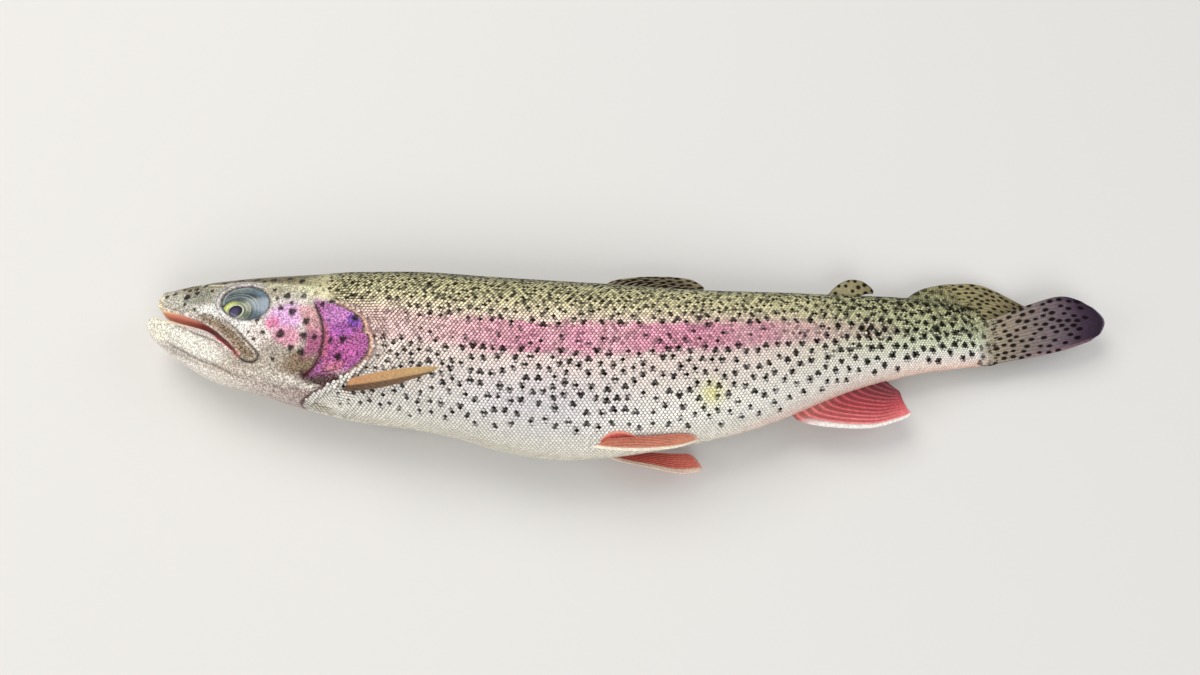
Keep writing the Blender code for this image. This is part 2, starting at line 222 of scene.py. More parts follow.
def makeObject(name, points, faces, tint, grain=None):
    mesh = bpy.data.meshes.new(name)
    mesh.vertices.add(len(points))
    mesh.vertices.foreach_set("co", (np.asarray(points) * mm).astype(np.float32).ravel())
    corners = np.concatenate([f.ravel() for f in faces]).astype(np.int32)
    sizes = np.concatenate([np.full(len(f), f.shape[1]) for f in faces])
    mesh.loops.add(len(corners))
    mesh.loops.foreach_set("vertex_index", corners)
    mesh.polygons.add(len(sizes))
    mesh.polygons.foreach_set("loop_start", (np.cumsum(sizes) - sizes).astype(np.int32))
    mesh.update(calc_edges=True)
    mesh.validate()
    mesh.shade_smooth()
    layer = mesh.color_attributes.new(name="tint", type="FLOAT_COLOR", domain="POINT")
    colours = np.concatenate((np.clip(tint, 0, 1), np.ones((len(tint), 1))), 1)
    layer.data.foreach_set("color", colours.astype(np.float32).ravel())
    if grain is not None:
        layer = mesh.attributes.new("grain", "FLOAT", "POINT")
        layer.data.foreach_set("value", np.full(len(points), grain, np.float32))
    piece = bpy.data.objects.new(name, mesh)
    bpy.context.scene.collection.objects.link(piece)
    return piece


def feed(tree, node, sockets):
    # sockets: numbers, or outputs of other nodes, for the node's inputs by name or number
    for key, value in sockets.items():
        if isinstance(value, bpy.types.NodeSocket):
            tree.links.new(value, node.inputs[key])
        else:
            node.inputs[key].default_value = value


# camera, floor and light
view = {"aim": (0.0115, 0.012, 0.019), "distance": 0.38, "tilt": 20.0, "lens": 31.2}
studio = {
    "floor": 4.0, "floorShade": (0.73, 0.72, 0.70), "sky": 0.40, "air": (0.95, 0.97, 1.0),
    # name, place, size, power, colour
    "lamps": (("key", (-0.35, 0.55, 0.85), 0.7, 5.8, (1.0, 0.97, 0.92)),
              ("front", (0.15, -0.75, 0.75), 0.6, 4.1, (1.0, 0.98, 0.95)),
              ("tail", (0.8, 0.25, 0.6), 0.5, 1.6, (0.93, 0.96, 1.0)),
              ("snout", (-0.75, -0.2, 0.5), 0.5, 1.7, (1.0, 0.97, 0.92))),
}


def setCamera():
    tilt = math.radians(view["tilt"])
    x, y, z = view["aim"]
    away = view["distance"]
    place = (x, y - math.sin(tilt) * away, z + math.cos(tilt) * away)
    bpy.ops.object.camera_add(location=place, rotation=(tilt, 0, 0))
    camera = bpy.context.object
    camera.data.lens = view["lens"]
    camera.data.sensor_width = 36
    camera.data.clip_start = 0.01
    bpy.context.scene.camera = camera


def setStage():
    bpy.ops.mesh.primitive_plane_add(size=studio["floor"], location=(0, 0, 0))
    floor = bpy.context.object
    floor.name = "floor"
    finish = bpy.data.materials.new("floor_paper")
    finish.use_nodes = True
    feed(finish.node_tree, finish.node_tree.nodes["Principled BSDF"], {
        "Base Color": (*studio["floorShade"], 1), "Roughness": 0.9, "Specular IOR Level": 0.1})
    floor.data.materials.append(finish)
    world = bpy.data.worlds.new("studio_air")
    bpy.context.scene.world = world
    world.use_nodes = True
    feed(world.node_tree, world.node_tree.nodes["Background"], {
        "Color": (*studio["air"], 1), "Strength": studio["sky"]})
    for name, place, size, power, colour in studio["lamps"]:
        bpy.ops.object.light_add(type="AREA", location=place)
        lamp = bpy.context.object
        lamp.name = name
        lamp.data.size = size
        lamp.data.energy = power
        lamp.data.color = colour
        lamp.rotation_euler = (-lamp.location).to_track_quat("-Z", "Y").to_euler()


setCamera()
setStage()
bpy.context.scene.view_settings.view_transform = "Standard"
print("camera, floor and light are set")

# the features of the head, seen from the side as (x, y)
head = {
    "lines": {
        "upperLip": ((-152.3, 26.8), (-151.9, 25.2), (-150.9, 23.4), (-149.2, 22), (-146.4, 20.9),
            (-143, 19.9), (-138.5, 18), (-134.4, 16.2), (-131.8, 15), (-126.9, 12), (-121.8, 7.9),
            (-118, 4.2), (-116.4, 1.8)),
        "lowerLip": ((-156.1, 18.2), (-154.6, 19.6), (-152, 19.4), (-149.2, 18), (-145.6, 17), (-141, 15.2),
            (-135.6, 13.4), (-130.5, 11.5), (-126.5, 9.3), (-121.8, 6), (-118.4, 3.3), (-116.4, 1.8)),
        "snoutFold": ((-151.4, 27.6), (-150.4, 25.2), (-148.7, 23.5), (-146.2, 22.2), (-142.6, 20.9),
            (-139.4, 19.4)),
        "lipFold": ((-143, 15.2), (-137.2, 12.8), (-132.9, 10.6), (-128.8, 8.9), (-124.7, 6.9),
            (-121.6, 5)),
        "maxillaFold": ((-131.5, 16.6), (-127, 14.6), (-121.6, 10.9), (-116.4, 5.8), (-112.4, 1.4)),
        "underEye": ((-133.5, 21), (-127.6, 20.4), (-122, 16.9), (-116.4, 13.9), (-110.5, 13.1),
            (-105, 15.2)),
        "preopercle": ((-90.4, 21), (-87.9, 16.4), (-86, 11.7), (-85.1, 7.2), (-85.3, 3), (-86.6, -1.2),
            (-89.6, -5.4), (-95, -8.2)),
        "gillEdge": ((-87.5, 22), (-84.9, 20.2), (-80, 17.8), (-74.7, 14.8), (-71.8, 11.8), (-70.9, 9.2),
            (-71.6, 7.9), (-69.6, 6.8), (-68.8, 3.7), (-69.6, -0.3), (-72.8, -3.6), (-78.4, -7.3),
            (-86, -10.6), (-96, -14.2), (-104, -17.6)),
        "opercleSeam": ((-82.6, 11.2), (-77.2, 10.7), (-74.6, 9.2), (-71.8, 7.9)),
        "interopercle": ((-84.6, 1.6), (-86, -3.4), (-82.4, -6.6), (-77.5, -6.6)),
        "jawFold": ((-146, 9.6), (-139.1, 5.7), (-131.1, 1.3), (-126.2, -0.4), (-116, -5.2), (-107.6, -7.7),
            (-100, -9.4)),
        "chinFold": ((-143, 4.4), (-138, 1), (-132.4, -2.2), (-119.1, -6.7), (-107.4, -10.4), (-99, -13.2)),
        "crown": ((-136.5, 31.4), (-127.9, 29.9), (-112, 28.9), (-98, 27.2), (-84, 25)),
    },
    "maxilla": ((-134.6, 16.4), (-130.8, 17.9), (-127, 16.4), (-123.2, 14.7), (-120, 12.9), (-117.4, 10.6),
        (-113.2, 6.2), (-109.8, 2.8), (-108.9, 1.2), (-109.5, -0.3), (-112.2, -0.7), (-115.4, 0.8),
        (-118.3, 4), (-122, 7.7), (-127.1, 11.8), (-132, 14.8)),
    "orbit": (-115.6, 21.2, 9.5, 6.7, -0.28),     # middle, radii and lean
    "nostrils": ((-139.2, 28.9), (-136.6, 29.4)),
    "folds": (      # line, height, distance beside it, width, where it has faded in
        ("underEye", 0.28, 0, 1.3, 0.12), ("opercleSeam", -0.22, 0, 0.35, 0.12),
        ("interopercle", -0.22, 0, 0.4, 0.12), ("chinFold", -0.38, 0, 0.5, 0.12),
        ("jawFold", -0.45, 0, 0.6, 0.12), ("jawFold", 0.22, 1.6, 1.1, 0.1),
        ("snoutFold", -0.26, 0, 0.4, 0.12), ("lipFold", -0.30, 0, 0.4, 0.12)),
}
lines = {key: trace(points) for key, points in head["lines"].items()}
maxillaRim = trace(head["maxilla"] + head["maxilla"][:1], 120)[:-1]


def orbitPart(x, y):
    return oval(x, y, *head["orbit"])


def headRelief(x, y):
    # how far the bare skin of the head stands out, by its place seen from the side
    r = orbitPart(x, y)
    lid = ease(-112, -119, x - 0.8 * (y - 21))
    h = 0.30 * bell(r - 1.14, 0.09) - 3.8 * ease(1.07, 0.60, r)
    h += 0.22 * bell(r - 1.27, 0.05) * lid - 0.22 * bell(r - 1.20, 0.04) * lid
    for (nx, ny), deep in zip(head["nostrils"], (0.95, 1.25)):
        h -= deep * bell(oval(x, y, nx, ny, 1.15, 1), 0.72)
    h += 0.30 * bell(oval(x, y, head["nostrils"][0][0] + 1.35, 29.2, 1, 1.4), 0.5)
    inside = insideOf(maxillaRim, x, y)
    h += 0.42 * ease(-0.15, 0.55, inside) - 0.42 * bell(inside + 0.35, 0.42)
    d, s = offLine(lines["maxillaFold"], x, y)
    h -= 0.24 * bell(d, 0.35) * ease(0, 0.1, s)
    d, s = offLine(lines["preopercle"], x, y)
    h += 0.34 * ease(5.5, 0.8, d) * (d > 0) * ends(s, 0.1, 0.7)
    h -= 0.40 * bell(d, 0.42) * ends(s, 0.10, 0.75)
    for key, high, beside, wide, rise in head["folds"]:
        d, s = offLine(lines[key], x, y)
        h += high * bell(d + beside, wide) * ends(s, rise, 0.85)
    d, s = offLine(lines["crown"], x, y)
    return h + 0.14 * bell(d, 0.5) * ends(s, 0.1, 0.85) - 0.10 * bell(d + 1.3, 0.7)


def gillStep(x, y):
    # the gill cover ends in a thin skin edge that overlaps the shoulder
    d, s = offLine(lines["gillEdge"], x, y)
    d = -d
    drop = -0.35 * ease(0.0, 0.5, d) - 1.15 * ease(1.7, 2.3, d) + 1.5 * ease(2.6, 9.0, d)
    h = np.where(d > 0, drop, 0.0) + 0.22 * bell(d + 0.8, 0.7)
    rays = np.sin((d + 0.35 * np.sin(s * 9)) * 2 * np.pi / 1.5)
    throat = ease(0.74, 0.84, s) * ease(-11, -8, d) * ease(-0.4, -1.4, d)
    h += 0.13 * rays * throat * ease(-84, -92, x)
    return h * ends(s, 0.07, 0.86)


mouth = {
    "cornerX": -116.4, "cornerY": 1.8, "noseX": -152.3, "chinX": -156.05,
    "overBack": 160, "underChin": 120, "lining": 34,       # points round the jaws and across the lining
    "lipRound": 0.8, "lipPad": 1.4, "gum": 0.75, "palate": 2.6, "floor": 3.6, "pocket": 11.0,
    "fineTo": -66.0, "fine": 0.445, "fineByEye": 0.31, "coarse": 1.85,     # spacing of the skin's rings
}


def stepsTo(start, end, first, last, growth=1.07):
    places = [start]
    step = first
    while places[-1] + step < end - 0.6 * last:
        places.append(places[-1] + step)
        x = places[-1]
        byEye = ease(-129, -126, x) * ease(-101, -104, x) * (last < 1)
        step = min(step * growth, last + (mouth["fineByEye"] - last) * byEye)
    return np.array(places)


def lipCurl(rows, lipY, middle):
    # the skin turns inward over the last millimetre before the lip
    near = np.clip(1 - np.abs(rows[:, 1] - lipY) / mouth["lipRound"], 0, 1)
    curl = mouth["lipRound"] * (1 - np.sqrt(1 - near**2))
    rows[:, 2] += np.sign(middle - rows[:, 2]) * curl * ease(0, 2.5, np.abs(rows[:, 2] - middle))


def outerRing(x, angles, lipY=None):
    base, normal = bodyPoint(x, angles), bodyNormal(x, angles)
    steep = np.abs(normal[:, 2])
    h = headRelief(base[:, 0], base[:, 1]) * ease(0.15, 0.5, steep) if x < mouth["fineTo"] + 2 else 0
    step = gillStep(base[:, 0], base[:, 1]) if x < -50 else 0
    rows = base + normal * np.expand_dims(h + step * ease(0.05, 0.3, steep), -1)
    if lipY is not None:
        lipCurl(rows, lipY, along(body["middle"], x))
    rows[:, 2] = np.maximum(rows[:, 2], body["rest"])
    return rows


def buildSkin():
    up, down = mouth["overBack"], mouth["underChin"]
    points, kinds = [], []   # kinds: 0 outer skin, 1 palate, 2 floor of the mouth
    quads, triangles = [], []

    def add(rows, kind=0):
        first = sum(len(p) for p in points)
        points.append(rows)
        kinds.append(np.full(len(rows), kind))
        return np.arange(first, first + len(rows))

    def stitch(a, b):
        quads.append(np.stack((a, np.roll(a, -1), np.roll(b, -1), b), 1))

    corner = float(angleAt(mouth["cornerX"], mouth["cornerY"]))
    s = 0.5 - 0.5 * np.cos(np.pi * np.linspace(0, 1, mouth["lining"] + 1)[1:-1])
    upper, lower = [], []
    jaws = ((upper, 1, mouth["noseX"] + 0.02, "upperLip"), (lower, 2, mouth["chinX"], "lowerLip"))
    for rings, kind, startX, lip in jaws:
        for x in stepsTo(startX, mouth["cornerX"], 0.10, mouth["fine"]):
            lipY = float(np.interp(x, *lines[lip].T))
            a = float(angleAt(x, lipY))
            if kind == 1:
                row = outerRing(x, np.linspace(-a, a, up + 1), lipY)
                # the tip of the snout is blunt and round
                blunt = math.sqrt(1 - (1 - min(1, (x - mouth["noseX"]) / 2.2)) ** 2)
                middle = along(body["middle"], x)
                row[:, 1] = lipY + (row[:, 1] - lipY) * (0.30 + 0.70 * blunt)
                row[:, 2] = middle + (row[:, 2] - middle) * (0.55 + 0.45 * blunt)
                t = (x - mouth["noseX"]) / (mouth["cornerX"] - mouth["noseX"])
                roof = along(body["back"], x) - lipY
                arch = min(mouth["palate"], 0.45 * roof) * ease(0.45, 0.75, t) * ease(1.0, 0.85, t)
                arch -= mouth["lipPad"] * ease(0, 0.08, t) * ease(0.62, 0.25, t)
                rows = row[-1] + (row[0] - row[-1]) * s[:, None]
                rows[:, 1] += arch * np.sin(np.pi * s) ** 0.7
            else:
                row = outerRing(x, np.linspace(a, 2 * np.pi - a, down + 1), lipY)
                t = (x - mouth["chinX"]) / (mouth["cornerX"] - mouth["chinX"])
                arch = min(mouth["floor"], 0.4 * (lipY - along(body["belly"], x))) * ends(t, 0.15, 0.75)
                rows = row[-1] + (row[0] - row[-1]) * s[:, None]
                inward = abs(row[0][2] - row[-1][2]) * np.minimum(s, 1 - s)
                gum = mouth["gum"] * bell(inward - 0.9, 0.7) * ease(0.04, 0.2, t) * ease(1.0, 0.8, t)
                rows[:, 1] += gum - arch * ease(0.9, 5.5, inward)
            rings.append(np.concatenate((add(row), add(rows, kind))))

    def ringAt(x, every=1):
        # the seam between the upper and the lower columns runs on behind the mouth
        over = np.linspace(-corner, corner, up + 1)
        under = np.linspace(corner, 2 * np.pi - corner, down + 1)[1:-1]
        return add(outerRing(x, np.concatenate((over, under))[::every]))

    fine = stepsTo(mouth["cornerX"], mouth["fineTo"], mouth["fine"], mouth["fine"], growth=1)
    ring = ringAt(fine[0])
    left, right = points[-1][up], points[-1][0]
    web = left + (right - left) * s[:, None]
    web[:, 0] += mouth["pocket"] * np.sin(np.pi * s) ** 0.8
    webAt = add(web, 1)
    for rings, last in ((upper, (ring[:up + 1], webAt)), (lower, (ring[up:], ring[:1], webAt[::-1]))):
        for a, b in zip(rings, rings[1:] + [np.concatenate(last)]):
            stitch(a, b)
    for x in fine[1:]:
        ring, before = ringAt(x), ring
        stitch(before, ring)
    wide = stepsTo(mouth["fineTo"], body["tailBase"], mouth["coarse"], mouth["coarse"], growth=1)
    half = ringAt(wide[0], 2)   # from here on a ring has half as many points
    a, b, c, onward = ring[::2], ring[1::2], np.roll(ring, -2)[::2], np.roll(half, -1)
    triangles += [np.stack(corners, 1) for corners in ((a, b, half), (b, onward, half), (b, c, onward))]
    ring = half
    for x in np.append(wide[1:], body["tailBase"]):
        ring, before = ringAt(x, 2), ring
        stitch(before, ring)
    for loop, turn in ((upper[0], -1), (lower[0], -1), (ring, 1)):
        hub = add(np.concatenate(points)[loop].mean(0, keepdims=True))[0]
        a, b = (loop, np.roll(loop, -1))[::turn]
        triangles.append(np.stack((a, b, np.full(len(loop), hub)), 1))
    return np.concatenate(points), np.concatenate(kinds), [np.concatenate(quads), np.concatenate(triangles)]


skinPoints, skinKind, skinFaces = buildSkin()
print("skin shaped:", len(skinPoints), "points,", len(skinFaces[0]) * 2 + len(skinFaces[1]), "triangles")

# the coat runs in rows beside the lateral line, and its colours run from the back (-1) over that line (0)
# to the belly (+1)
coat = {
    "lateral": ((-90, 15.5), (-70, 13.6), (-40, 9.2), (0, 6.4), (40, 7.8), (80, 12.2), (120, 15.6),
                (153, 16.2)),
    "pitch": 1.38, "rowGap": 0.97, "smallAtTail": 0.76,
    "spotTries": 30000, "spotX": (-95, 152), "spotGirth": (-46, 34),
    "stripe": {"middle": (242, 158, 186), "rim": (104, 32, 58), "centre": 0.02, "half": 0.135},
    "spot": (17, 14, 10),
    "shades": (     # place, middle and rim of a scale
        (-1.00, (104, 106, 76), (12, 16, 9)),
        (-0.80, (150, 148, 108), (16, 19, 9)),
        (-0.55, (238, 230, 172), (34, 32, 14)),
        (-0.30, (252, 242, 190), (50, 44, 22)),
        (-0.14, (250, 230, 200), (62, 48, 38)),
        (0.13, (255, 236, 222), (86, 68, 60)),
        (0.35, (255, 244, 232), (106, 90, 80)),
        (0.55, (255, 250, 240), (128, 114, 102)),
        (0.75, (255, 252, 243), (154, 142, 126)),
        (0.90, (255, 252, 238), (188, 176, 154)),
        (1.00, (250, 246, 228), (208, 198, 174))),
    "tailShades": (
        (-1.00, (120, 118, 80), (11, 14, 6)),
        (-0.60, (214, 212, 160), (17, 22, 9)),
        (-0.10, (212, 216, 170), (22, 28, 13)),
        (0.30, (236, 240, 208), (44, 50, 30)),
        (0.60, (255, 250, 240), (116, 108, 94)),
        (0.85, (252, 232, 220), (206, 160, 142)),
        (1.00, (250, 214, 196), (222, 156, 132))),
}


def girthTable():
    # girth from the lateral line, up to the back (negative) and down to the belly (positive)
    xs = np.linspace(-110, body["tailBase"], 264)
    angles = np.linspace(0, np.pi, 241)
    steps = np.linalg.norm(np.diff(bodyPoint(xs[:, None], angles[None, :]), axis=1), axis=2)
    run = np.concatenate((np.zeros((len(xs), 1)), np.cumsum(steps, 1)), 1)
    middle = angleAt(xs, along(coat["lateral"], xs))
    zero = np.array([np.interp(m, angles, r) for m, r in zip(middle, run)])
    return xs, angles, run - zero[:, None]


girthX, girthAngle, girthRun = girthTable()


def girthOf(x, angle):
    # distance from the lateral line, and as a part of the way to the back (-1) or the belly (+1)
    fx = np.clip((x - girthX[0]) / (girthX[1] - girthX[0]), 0, len(girthX) - 1.001)
    fa = np.clip(angle / (girthAngle[1] - girthAngle[0]), 0, len(girthAngle) - 1.001)
    i, j = fx.astype(int), fa.astype(int)
    u, v = fx - i, fa - j
    g = girthRun
    d = (g[i, j] * (1 - v) + g[i, j + 1] * v) * (1 - u) + (g[i + 1, j] * (1 - v) + g[i + 1, j + 1] * v) * u
    top = -(g[i, 0] * (1 - u) + g[i + 1, 0] * u)
    low = g[i, -1] * (1 - u) + g[i + 1, -1] * u
    return d, np.where(d < 0, d / top, d / low)


def scatterSpots(seed):
    # dark spots of one flank: (x, girth, radius, stretch, turn)
    rng = np.random.default_rng(seed)
    kept = []
    for _ in range(coat["spotTries"]):
        x, d = rng.uniform(*coat["spotX"]), rng.uniform(*coat["spotGirth"])
        i = int(np.clip((x - girthX[0]) / (girthX[1] - girthX[0]), 0, len(girthX) - 1))
        q = d / -girthRun[i, 0] if d < 0 else d / girthRun[i, -1]
        if abs(q) > 1 or q > rng.uniform(0.60, 0.84) - 0.10 * ease(95, 150, x) or (x < -80 and q > -0.3):
            continue
        inStripe = abs(q - coat["stripe"]["centre"]) < 0.11 and x < 90
        if inStripe and rng.uniform() < 0.96 or x < -58 and abs(q + 0.04) < 0.18:
            continue
        above = ease(-0.12, -0.40, q)
        tail, shoulder = ease(70, 125, x), ease(-20, -60, x)
        gap = 3.3 - 0.95 * above * (1 - 0.5 * tail) - 0.45 * shoulder + 0.4 * ease(0.2, 0.8, q)
        size = 1.04 - 0.26 * above * (1 - 0.6 * tail) - 0.16 * shoulder + 0.22 * tail
        size -= 0.20 * ease(0.45, 0.85, q)
        if kept and np.min(np.hypot(*(np.array(kept)[:, :2] - (x, d)).T)) < gap:
            continue
        size *= 0.72 if inStripe else 1.0
        kept.append((x, d, size * rng.uniform(0.84, 1.10), rng.uniform(0.72, 1.0), rng.uniform(0, np.pi)))
    return np.array(kept)


spots = {side: scatterSpots(seed) for side, seed in seeds["spots"].items()}
print("spots:", len(spots[1]), "and", len(spots[-1]))


def spotCover(side, x, d, soft=0.28):
    # how dark the spots of a flank are at each place, from 0 to 1
    cover = np.zeros(x.shape)
    for start in np.arange(-100, 160, 10.0):
        pick = np.where((x >= start) & (x < start + 10))[0]
        near = spots[side][np.abs(spots[side][:, 0] - start - 5) < 8]
        if len(pick) == 0 or len(near) == 0:
            continue
        dx = x[pick][:, None] - near[:, 0]
        dy = d[pick][:, None] - near[:, 1]
        c, s = np.cos(near[:, 4]), np.sin(near[:, 4])
        a, b = c * dx + s * dy, (c * dy - s * dx) / near[:, 3]
        reach = near[:, 2] * (1 + 0.16 * np.sin(3 * np.arctan2(b, a) + near[:, 4] * 5))
        cover[pick] = ease(soft, -soft, np.hypot(a, b) - reach).max(1)
    return cover


def coatColours(x, d, q, side):
    # colours of a scale's middle and rim at each place
    toTail = ease(62, 128, x)
    tones = [mix(fromTable(coat["shades"], q, column), fromTable(coat["tailShades"], q, column), toTail)
             for column in (1, 2)]
    stripe = coat["stripe"]
    strength = (0.35 + 0.65 * ease(-58, -24, x)) * (1 - 0.75 * ease(52, 102, x)) * ease(128, 108, x)
    patchy = np.sin(x * 0.46 + 2.1 * np.sin(d * 0.9)) * np.sin(d * 0.8 + 1.7 * np.sin(x * 0.31))
    pink = ease(1.35, 0.70, np.abs(q - stripe["centre"] + 0.03 * patchy) / stripe["half"]) * strength
    pink *= 0.86 + 0.10 * np.sin(x * 0.21 + np.sin(x * 0.083) * 2) + 0.08 * patchy
    washes = (      # halo of the stripe, stripe, lavender flank, blushing shoulder, vent, yellow smear
        ((255, 214, 222), (120, 72, 82), bell((q - stripe["centre"]) / 0.30) * strength * 0.30),
        (stripe["middle"], stripe["rim"], np.clip(pink * 0.95, 0, 1)),
        ((226, 220, 240), (96, 86, 108), bell(oval(x, q, -12, 0.50, 34, 0.22)) * 0.45),
        (None, (116, 80, 74), bell(oval(x, q, -52, 0.30, 22, 0.5)) * 0.35),
        ((252, 206, 200), (214, 132, 124), bell(oval(x, q, 76, 0.97, 16, 0.12)) * 0.55),
        ((246, 242, 150), (196, 186, 90), bell(oval(x, d, 49.5, 22.3, 4.2, 4.2)) * 0.75 * (side > 0)),
    )
    for *pair, mask in washes:
        tones = [paint(tone, (colour, mask)) if colour else tone for tone, colour in zip(tones, pair)]
    return tones


headPaint = {
    "heights": (     # bare skin by height
        (-22, (232, 224, 210)), (-8, (222, 212, 198)), (-1, (186, 172, 154)), (6, (196, 182, 172)),
        (14, (218, 208, 200)), (21, (206, 198, 184)), (26, (200, 192, 166)), (29.5, (150, 140, 108)),
        (31.5, (100, 94, 64)), (36, (78, 76, 50))),
    "patches": (     # x, y, half length, half height, turn, colour, strength
        (-153.5, 24.5, 6.5, 6, 0, (254, 240, 200), 0.95),         # tip of the snout
        (-143, 24.5, 9, 4.5, -0.35, (200, 198, 184), 0.75),       # side of the snout
        (-134, 25.5, 7.5, 4.5, 0, (142, 142, 128), 0.75),         # in front of the eye
        (-128, 27, 4, 3, 0, (176, 170, 150), 0.6),
        (-118, 29.3, 9, 1.5, -0.12, (214, 198, 196), 0.6),        # brow
        (-98, 26.3, 17, 1.5, -0.16, (206, 200, 164), 0.8),        # pale edge of the crown, a painted highlight along its ridge
        (-104, 24.4, 4, 2.4, 0, (178, 166, 146), 0.7),            # behind the eye
        (-127.2, 18.6, 9, 2.2, -0.32, (255, 252, 244), 1),        # pale crescent under the eye
        (-115.6, 12.6, 9.5, 2.7, -0.42, (255, 250, 244), 1),
        (-109, 8, 7, 5.5, -0.6, (238, 222, 214), 0.85),
        (-99.5, 14.6, 8, 6.2, 0.1, (228, 172, 222), 1),           # lavender cheek
        (-104.2, 12.6, 3.2, 2.6, 0.2, (232, 108, 150), 0.75),     # pink spot of the cheek
        (-98.6, 7.4, 6.5, 4.2, -0.3, (226, 152, 176), 0.9),
        (-94, -2.4, 9.5, 4.4, -0.15, (128, 104, 76), 0.9),        # brown lower cheek
        (-104, 1.6, 8, 5, -0.3, (178, 166, 152), 0.75),
        (-85, -7.8, 11, 3, -0.2, (78, 48, 48), 0.95),             # shade under the gill cover
        (-93, -13, 15, 3.2, -0.25, (150, 124, 118), 0.8),         # gill membrane
        (-86, 28.4, 12, 3.4, -0.1, (170, 166, 124), 0.85),        # olive nape
        (-84, 22.6, 12, 3, -0.25, (234, 238, 194), 0.95),         # pale green above the gill cover
        (-150, 15, 8, 6, -0.45, (252, 246, 226), 0.95),           # tip of the lower jaw
        (-134, 6.5, 16, 4.4, -0.48, (240, 236, 222), 0.9),
        (-133, -1, 19, 1.9, -0.42, (252, 246, 240), 0.95),        # pale band under the jaw fold
        (-118, -3.6, 12, 2.2, -0.3, (224, 208, 194), 0.7)),
    "gillPatches": (
        (-79, 13.6, 8, 6, -0.35, (196, 118, 190), 1),             # gill cover, above and below
        (-78.4, 4, 9.5, 8, -0.15, (192, 96, 162), 1),
        (-78, 9, 6, 3.6, 0, (172, 84, 178), 0.85),
        (-74.4, 12.2, 3.4, 2.8, -0.7, (112, 62, 172), 0.9),       # violet corner
        (-84.4, 4.5, 1.7, 9, 0.05, (200, 104, 112), 0.6),         # red along the edge bone
        (-81, -4.2, 5, 2.4, 0.2, (186, 110, 126), 0.8)),
    "seamsAndShade": (      # dark lines along the folds, the skin's seams with painted shade in their creases: line, width, colour, strength
        ("snoutFold", 0.26, (150, 120, 90), 0.75), ("lipFold", 0.28, (92, 84, 72), 0.85),
        ("maxillaFold", 0.26, (84, 70, 58), 0.6), ("preopercle", 0.60, (76, 26, 32), 1.0),
        ("opercleSeam", 0.32, (96, 30, 88), 0.7), ("interopercle", 0.3, (110, 60, 60), 0.6),
        ("jawFold", 0.45, (120, 108, 100), 0.8), ("chinFold", 0.38, (138, 126, 118), 0.7)),
    "spots": (     # x, y, radius
        (-148, 27.1, 0.9), (-144.8, 27.9, 0.9), (-139.2, 25.7, 1.35), (-135.4, 27, 1), (-133, 30.4, 1),
        (-141.5, 29.6, 0.8), (-139.3, 31, 0.9), (-139.6, 22.6, 0.8), (-135.1, 20.2, 0.7),
        (-129.6, 27.4, 0.8), (-126, 30.9, 1), (-120, 32, 1.2), (-113.4, 31.6, 1.1), (-107, 31, 1.3),
        (-101, 31.3, 1.1), (-96, 29.6, 1.2), (-110.3, 30.2, 0.8), (-105.2, 25.8, 0.8), (-103.6, 22, 0.7),
        (-100, 22.9, 1.3), (-98, 19.9, 0.8), (-93.9, 22.5, 1.2), (-89.5, 23.5, 1.1), (-101.8, 18, 1.1),
        (-97.2, 16.4, 1.5), (-109.9, 13.6, 0.9), (-107.5, 9.2, 1), (-100.8, 8.3, 1.6), (-110.6, 7, 0.8),
        (-91.8, 12.4, 1.4), (-92.2, 7.2, 1.4), (-88.2, 6.4, 1), (-96.6, 3.2, 1.2), (-92.8, 1.4, 1.3),
        (-86.6, 18.9, 1), (-83.2, 20, 1.1), (-78, 5.3, 1.4), (-79.6, -0.8, 1.3), (-82.2, 5.2, 1),
        (-74.2, 13, 1.2), (-103.2, -0.4, 0.8), (-112.8, 9.6, 0.6), (-88, 29.8, 1.2), (-91.6, 33, 1.2),
        (-84, 32.6, 1.2), (-98.4, 34, 1.2), (-106, 34, 1.1), (-115, 34.4, 1), (-124, 33.6, 1),
        (-132, 33.4, 0.9)),
    "crown": {"tries": 900, "x": (-147, -84), "across": (-14, 1.5), "gap": 3.9, "radius": (0.6, 1.1)},
}


def scatterCrown(seed):
    # spots over the top of the head: (x, how far across, radius)
    rng = np.random.default_rng(seed)
    kept = []
    crown = headPaint["crown"]
    for _ in range(crown["tries"]):
        x, w = rng.uniform(*crown["x"]), rng.uniform(*crown["across"])
        if all(math.hypot(x - a, w - b) > crown["gap"] for a, b, _ in kept):
            kept.append((x, w, rng.uniform(*crown["radius"])))
    return kept


crownSpots = scatterCrown(seeds["crown"])


